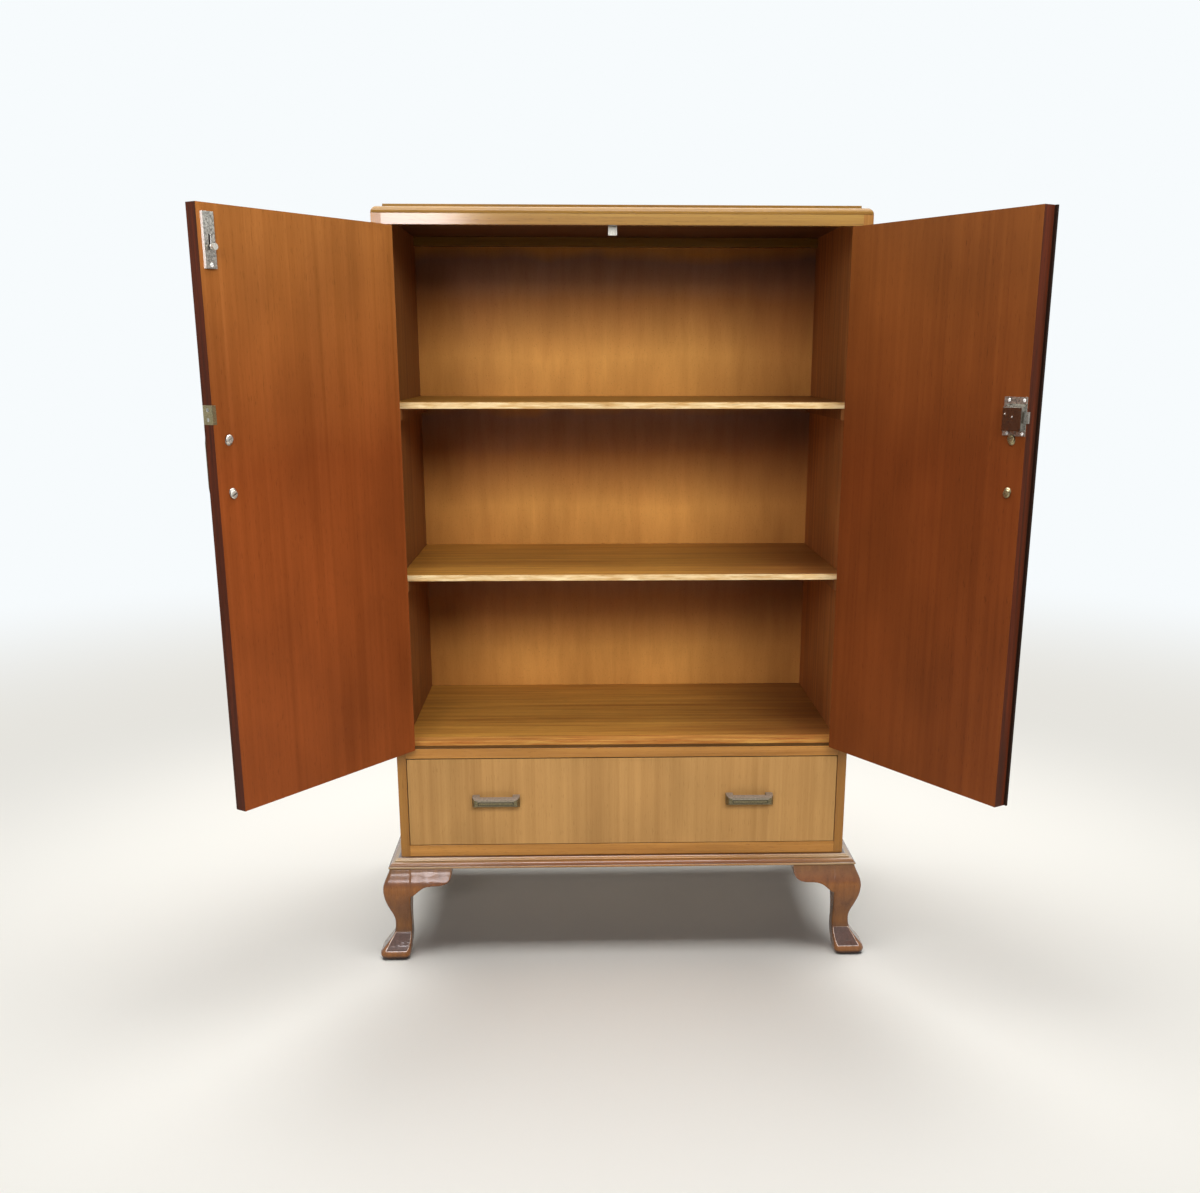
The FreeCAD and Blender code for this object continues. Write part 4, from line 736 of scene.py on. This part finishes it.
def inside_finishes(c):
    # Stained and sealed veneer: matt red brown. The right side's inner face is a lighter copy,
    # painted light.
    sides = {"fibre": 1.1, "figure": 14, "run": 500, "roughness": 0.5}
    FINISHES["inside"] = wood("Stained case side", c.inside_light, c.inside_dark, **sides)
    FINISHES["painted_light_inside"] = wood("Right case side, painted light", shaded(c.inside_light, 1.55),
                                  shaded(c.inside_dark, 1.55), **sides)
    # Peeled gaboon plywood, sealed: yellow, with short blotchy figure. Inside it is painted
    # darker as painted shade under each shelf and the top rail, just above the floor and each
    # shelf, and towards the sides. Outside it is raw and evenly pale.
    gaboon = {"fibre": 1.3, "figure": 22, "run": 160, "contrast": 1.0, "stretch": 9,
              "pores": 0.3}
    painted_shadows = [(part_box("cupboard_floor")[1][2], (0.8, 0.75, 0.7))]
    for node in ("lower_shelf", "upper_shelf", "top_front_rail"):
        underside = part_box(node)[0][2]
        painted_shadows += [(underside - 0.17, (1, 1, 1)), (underside - 0.07, (0.7, 0.6, 0.65)),
                   (underside, (0.5, 0.55, 1.3)), (underside + 0.02, (0.8, 0.75, 0.7))]
    FINISHES["back"] = wood("Gaboon plywood", c.back_light, c.back_dark, **gaboon,
                            roughness=0.42, tones=painted_shadows,
                            fades=((-0.34, (0.75, 0.68, 0.65)), (-0.15, (1, 1, 1)),
                                   (0.16, (1, 1, 1)), (0.34, (0.7, 0.63, 0.63))))
    FINISHES["plain_back"] = wood("Unpolished plywood", c.back_light, c.back_dark, **gaboon,
                                  roughness=0.6)
    # Oak, sawn and sealed: open straight grain, painted lighter on the left as painted light
    # and darker at the right end as painted shade
    FINISHES["shelf"] = wood("Oak shelf", c.shelf_light, c.shelf_dark, "x", fibre=1.3,
                             figure=12, run=350, roughness=0.42,
                             fades=((-0.35, (1.15, 1.2, 1.2)), (0.1, (1.1, 1.15, 1.2)),
                                    (0.34, (0.58, 0.48, 0.6))))
    # The same oak rubbed bare on its front edge: pale, with brown left in the hollows
    FINISHES["worn_edge"] = wood("Worn shelf edge", c.edge_light, c.edge_dark, "x", fibre=0.8,
                                 figure=5, run=40, contrast=0.4, roughness=0.5)


def drawer_finishes(c):
    # Quarter-cut walnut veneer: straight upright stripes under a thin dull polish
    FINISHES["drawer"] = wood("Striped walnut veneer", c.drawer_light, c.drawer_dark,
                              figure=13, run=1500, contrast=0.8, pores=0.25)
    # The edges of the drawer front and the door rail, painted dark as the shade in the gaps
    gap_shade = (0.4, 0.37, 0.35)
    FINISHES["drawer_edge"] = wood("Drawer edge, painted gap shade", c.drawer_dark,
                                   shaded(c.drawer_dark, 0.35), "x",
                                   tones=((0.0, gap_shade), (1, gap_shade)))
    # Planed pine without polish: pale, even and matt
    pine = {"fibre": 1.2, "figure": 11, "run": 300, "roughness": 0.55}
    FINISHES["box"] = wood("Drawer pine", c.box_light, c.box_dark, "y", **pine)
    FINISHES["cross_box"] = wood("Drawer pine, across", c.box_light, c.box_dark, "x", **pine)


def leg_finishes(c):
    # Beech, carved, stained and polished: glossy dark brown. The tones are painted light and
    # shade: near black at the feet's bottom as a painted contact shadow, lighter at the toes
    # and knees as painted highlights, and darker at the ankles. The ridges of the feet are
    # painted pale as a painted highlight, and the facets dark as a painted dark reflection.
    beech = {"figure": 8, "run": 120}
    FINISHES["leg"] = wood("Stained beech", c.leg_light, c.leg_dark, **beech, contrast=0.8,
                           roughness=0.3, coat=0.9, relief=0.02, gloss=0.17, waver=0.0,
                           tones=((0.0, (0.2, 0.17, 0.15)), (0.006, (0.3, 0.27, 0.25)),
                                  (0.009, (1.1, 1.1, 1.2)), (0.02, (0.9, 0.85, 0.8)),
                                  (0.042, (0.5, 0.48, 0.45)), (0.055, (0.8, 0.8, 0.7)),
                                  (0.09, (0.8, 0.77, 0.7)), (0.128, (1.15, 1.1, 1)),
                                  (0.136, (0.8, 0.7, 0.7)), (0.16, (0.8, 0.9, 1.1))))
    FINISHES["ridge"] = wood("Foot ridge, painted highlight", c.ridge, c.leg_light, **beech,
                             roughness=0.3, coat=1.0, relief=0.0)
    FINISHES["facet"] = wood("Foot facet, painted dark reflection", c.facet, shaded(c.facet, 0.6), **beech,
                             roughness=0.25, coat=1.0, relief=0.0)
    # Beech, run to a moulding, stained and polished. Its tones paint light and shade: bright
    # lines along its beads as painted highlights, brown between them, and near black in the
    # quirks as painted shade. Its middle is painted warmer than its ends, where the painted
    # highlights stay whiter.
    bead_highlight, plain, brown = (0.92, 1.2, 1.9), (0.52, 0.56, 0.65), (0.52, 0.45, 0.42)
    quirk_shade, warm = (0.2, 0.16, 0.15), (0.88, 0.63, 0.32)
    beads = {"figure": 8, "run": 220, "contrast": 0.8, "roughness": 0.3, "coat": 0.9,
             "relief": 0.0, "waver": 0.0,
             "tones": ((0.1608, quirk_shade), (0.1618, bead_highlight), (0.1648, bead_highlight), (0.1654, quirk_shade),
                       (0.1660, brown), (0.1704, brown), (0.1712, bead_highlight), (0.1755, bead_highlight),
                       (0.1765, quirk_shade), (0.1785, quirk_shade), (0.1795, plain), (0.1815, plain),
                       (0.1835, quirk_shade))}
    FINISHES["moulding"] = wood("Stained moulding", c.plinth_light, c.plinth_dark, "x",
                                **beads, fades=((-0.36, (1, 1, 1)), (-0.1, warm),
                                                (0.2, warm), (0.36, (1, 1, 1))))
    FINISHES["side_moulding"] = wood("Stained side moulding", c.plinth_light, c.plinth_dark,
                                     "y", **beads)


def metal_finishes(c):
    # Nickel plate on brass: bright and warm grey where it is rubbed, with dark clouds of
    # tarnish, dull where the bolt slides, and nearly white as a painted highlight on edges and
    # heads
    FINISHES["nickel"] = metal("Nickel plate", shaded(c.nickel, 0.75), shaded(c.nickel, 0.15),
                               0.22, 2.6, 0.75)
    FINISHES["bright_nickel"] = metal("Bright nickel", c.nickel, shaded(c.nickel, 0.6), 0.15,
                                      1.6, 0.6)
    FINISHES["highlight_nickel"] = metal("Nickel, painted highlight", c.highlight_nickel, c.nickel, 0.3, 1.6, 0.1)
    FINISHES["dull_nickel"] = metal("Dull nickel", shaded(c.nickel, 0.5),
                                    shaded(c.nickel, 0.2), 0.3, 1.6, 0.6)
    # The lock's pressed cover: smooth plate that mirrors the room darkly
    FINISHES["mirror_nickel"] = metal("Tarnished nickel", c.tarnish, shaded(c.tarnish, 0.4),
                                      0.12, 2.6, 0.95)
    # Cast brass, bronzed: olive brown with a soft sheen, painted greyer and lighter on the
    # upward bevels as a painted highlight, and almost black in the grooves
    FINISHES["bronze"] = metal("Bronzed brass", c.bronze, shaded(c.bronze, 0.35), 0.34, 2.0,
                               0.7)
    FINISHES["highlit_bronze"] = metal("Bronze, painted highlight", c.highlit_bronze, shaded(c.highlit_bronze, 0.5),
                                    0.28, 2.0, 0.5)
    FINISHES["dark_bronze"] = metal("Dirty bronze", shaded(c.bronze, 0.35),
                                    shaded(c.bronze, 0.12), 0.5, 2.0, 0.5)
    # Turned and stamped brass, long unpolished: a muted yellow grey
    FINISHES["brass"] = metal("Aged brass", c.brass, shaded(c.brass, 0.4), 0.25, 1.5, 0.8)


# The finish of each of the frame's material slots, and of the nodes that differ from it
SLOT_FINISHES = {
    "case_veneer": "case", "interior_wood": "shelf", "plywood": "back",
    "drawer_box_wood": "box", "drawer_veneer": "drawer", "door_veneer": "left_door",
    "moulding_wood": "leg", "nickel": "nickel", "steel": "nickel", "hinge_brass": "brass",
    "bronzed_brass": "bronze",
}
NODE_FINISHES = {"plinth_back_rail": "moulding", "bottom_board": "dusty",
                 "shelf_bearers": "inside"}


class MATERIAL_OT_cupboard_finishes(bpy.types.Operator):
    """Make the finishes and dress every CAD node with one"""
    bl_idname = "material.cupboard_finishes"
    bl_label = "Finishes"

    def execute(self, context):
        for make in (door_finishes, case_finishes, inside_finishes, drawer_finishes,
                     leg_finishes, metal_finishes):
            make(colours())
        for node, obj in frame["nodes"].items():
            dress(obj, NODE_FINISHES.get(node, SLOT_FINISHES[SLOT_OF[node]]))
        return {"FINISHED"}


# Stage

# The camera is fitted to the corners of the case and the doors, in pixels, degrees and
# millimetres
IMAGE_WIDTH, IMAGE_HEIGHT = 1200, 1193
FOCAL_PIXELS = 1301.448
AXIS_X, AXIS_Y = 623.106, 729.506
PITCH, YAW, ROLL = 15.922, -1.816, 0.063
CAMERA_PLACE = (-66.598, -2304.433, 1001.931)
SENSOR = 36.0

# Each light's place, aim, width and height in metres, watts and colour
WHITE = (1, 0.99, 0.97)
KEY = ("Key softbox", (0.3, -2.9, 1.95), (0, 0, 0.65), 3.0, 0.8, 90, WHITE)
OVERHEAD = ("Overhead softbox", (0, 0.2, 3.4), (0, 0, 0), 3.6, 3.2, 185, WHITE)
CEILING = ("Ceiling strip", (-0.3, -1.3, 3.0), (0, 0, 0.5), 1.8, 0.8, 50, (1, 0.94, 0.97))
WINDOW = ("Window card", (-0.72, -3.3, 1.5), (-0.3, -0.2, 1.19), 0.4, 0.3, 9,
          (1, 0.93, 0.96))
# The light from all round, and how much more of it reflections see
AMBIENT, REFLECTED = 0.1, 0.9
# Distances in metres over which the floor's shadow fades out, and then its tone
SHADOW_ENDS, TONE_ENDS = (0.7, 1.9), (1.9, 4.2)


def area_light(name, place, target, width, height, power, shade):
    light = bpy.data.lights.new(name, "AREA")
    light.shape = "RECTANGLE"
    light.size, light.size_y = width, height
    light.energy = power
    light.color = shade
    lamp = bpy.data.objects.new(name, light)
    bpy.context.scene.collection.objects.link(lamp)
    away = Vector(target) - Vector(place)
    lamp.matrix_world = (Matrix.Translation(place)
                         @ away.to_track_quat("-Z", "Y").to_matrix().to_4x4())
    return lamp


class SCENE_OT_cupboard_stage(bpy.types.Operator):
    """Set up the floor, the lights, the background and the camera"""
    bl_idname = "scene.cupboard_stage"
    bl_label = "Stage"

    def execute(self, context):
        self.camera(context)
        key = self.lights(context)
        floor = self.floor()
        unlit = bpy.data.collections.new("Beyond the key softbox")
        unlit.objects.link(floor)
        key.light_linking.receiver_collection = unlit
        unlit.collection_objects[0].light_linking.link_state = "EXCLUDE"
        context.scene.view_settings.view_transform = "Standard"
        return {"FINISHED"}

    def camera(self, context):
        data = bpy.data.cameras.new("Camera")
        data.sensor_width = SENSOR
        data.lens = FOCAL_PIXELS / IMAGE_WIDTH * SENSOR
        data.shift_x = (IMAGE_WIDTH / 2 - AXIS_X) / IMAGE_WIDTH
        data.shift_y = (AXIS_Y - IMAGE_HEIGHT / 2) / IMAGE_WIDTH
        data.clip_end = 60
        camera = bpy.data.objects.new("Camera", data)
        context.scene.collection.objects.link(camera)
        turn = (Matrix.Rotation(math.radians(YAW), 4, "Z")
                @ Matrix.Rotation(math.radians(90 - PITCH), 4, "X")
                @ Matrix.Rotation(math.radians(ROLL), 4, "Z"))
        camera.matrix_world = Matrix.Translation(Vector(CAMERA_PLACE) * MM) @ turn
        context.scene.camera = camera

    def lights(self, context):
        key = area_light(*KEY)
        key.visible_glossy = False
        area_light(*OVERHEAD)
        strip = area_light(*CEILING)
        strip.visible_diffuse = False
        area_light(*WINDOW)
        world = bpy.data.worlds.new("Studio")
        context.scene.world = world
        world.use_nodes = True
        world.node_tree.nodes.clear()
        paths = add(world, "ShaderNodeLightPath")
        strength = add(world, "ShaderNodeMath",
                       {0: paths.outputs["Is Glossy Ray"], 1: REFLECTED, 2: AMBIENT},
                       operation="MULTIPLY_ADD")
        ambient = add(world, "ShaderNodeBackground",
                      {"Color": (*colours().backdrop, 1), "Strength": strength.outputs[0]})
        shown = add(world, "ShaderNodeBackground", {"Color": (*colours().backdrop, 1)})
        mixed = add(world, "ShaderNodeMixShader",
                    {0: paths.outputs["Is Camera Ray"], 1: ambient.outputs[0],
                     2: shown.outputs[0]})
        add(world, "ShaderNodeOutputWorld", {"Surface": mixed.outputs[0]})
        return key

    def floor(self):
        deselect()
        bpy.ops.mesh.primitive_plane_add(size=30, location=(0, 0, 0))
        floor = bpy.context.active_object
        floor.name = "studio_floor"
        material = new_material("Studio floor")
        place = add(material, "ShaderNodeTexCoord").outputs["Object"]
        reach = add(material, "ShaderNodeVectorMath", {0: place}, operation="LENGTH")
        near, far = [add(material, "ShaderNodeMapRange",
                         {"Value": reach.outputs["Value"], "From Min": start,
                          "From Max": end}, interpolation_type="SMOOTHSTEP")
                     for start, end in (SHADOW_ENDS, TONE_ENDS)]
        matt = add(material, "ShaderNodeBsdfDiffuse", {"Color": (*colours().floor, 1)})
        tone = add(material, "ShaderNodeMix",
                   {0: far.outputs[0], 6: (*colours().lit_floor, 1),
                    7: (*colours().backdrop, 1)}, data_type="RGBA")
        glow = add(material, "ShaderNodeEmission", {"Color": tone.outputs[2]})
        paths = add(material, "ShaderNodeLightPath")
        shown = add(material, "ShaderNodeMath",
                    {0: near.outputs[0], 1: paths.outputs["Is Camera Ray"]},
                    operation="MULTIPLY")
        mixed = add(material, "ShaderNodeMixShader",
                    {0: shown.outputs[0], 1: matt.outputs[0], 2: glow.outputs[0]})
        finish_material(material, mixed)
        floor.data.materials.append(material)
        return floor


class VIEW3D_PT_cupboard(bpy.types.Panel):
    """Lists what the script builds, with its sizes and colours"""
    bl_label = "Linen cupboard"
    bl_idname = "VIEW3D_PT_cupboard"
    bl_space_type = "VIEW_3D"
    bl_region_type = "UI"
    bl_category = "Linen cupboard"

    def draw(self, context):
        for operator in OPERATORS:
            self.layout.operator(operator.bl_idname)
        for group in (context.scene.cupboard_sizes, context.scene.cupboard_colours):
            for name in group.bl_rna.properties.keys():
                if name not in ("rna_type", "name"):
                    self.layout.prop(group, name)


OPERATORS = (MATERIAL_OT_cupboard_finishes, OBJECT_OT_cupboard_boards,
             OBJECT_OT_cupboard_doors, OBJECT_OT_cupboard_legs,
             OBJECT_OT_cupboard_bolt, OBJECT_OT_cupboard_lock,
             OBJECT_OT_cupboard_pulls, SCENE_OT_cupboard_stage)
CLASSES = (CupboardSizes, CupboardColours, *OPERATORS, VIEW3D_PT_cupboard)


def register():
    for cls in CLASSES:
        bpy.utils.register_class(cls)
    bpy.types.Scene.cupboard_sizes = bpy.props.PointerProperty(type=CupboardSizes)
    bpy.types.Scene.cupboard_colours = bpy.props.PointerProperty(type=CupboardColours)


def unregister():
    del bpy.types.Scene.cupboard_colours
    del bpy.types.Scene.cupboard_sizes
    for cls in reversed(CLASSES):
        bpy.utils.unregister_class(cls)


def main():
    register()
    bpy.ops.material.cupboard_finishes()
    bpy.ops.object.cupboard_boards()
    bpy.ops.object.cupboard_doors()
    bpy.ops.object.cupboard_legs()
    bpy.ops.object.cupboard_bolt()
    bpy.ops.object.cupboard_lock()
    bpy.ops.object.cupboard_pulls()
    bpy.ops.scene.cupboard_stage()


if __name__ == "__main__":
    main()
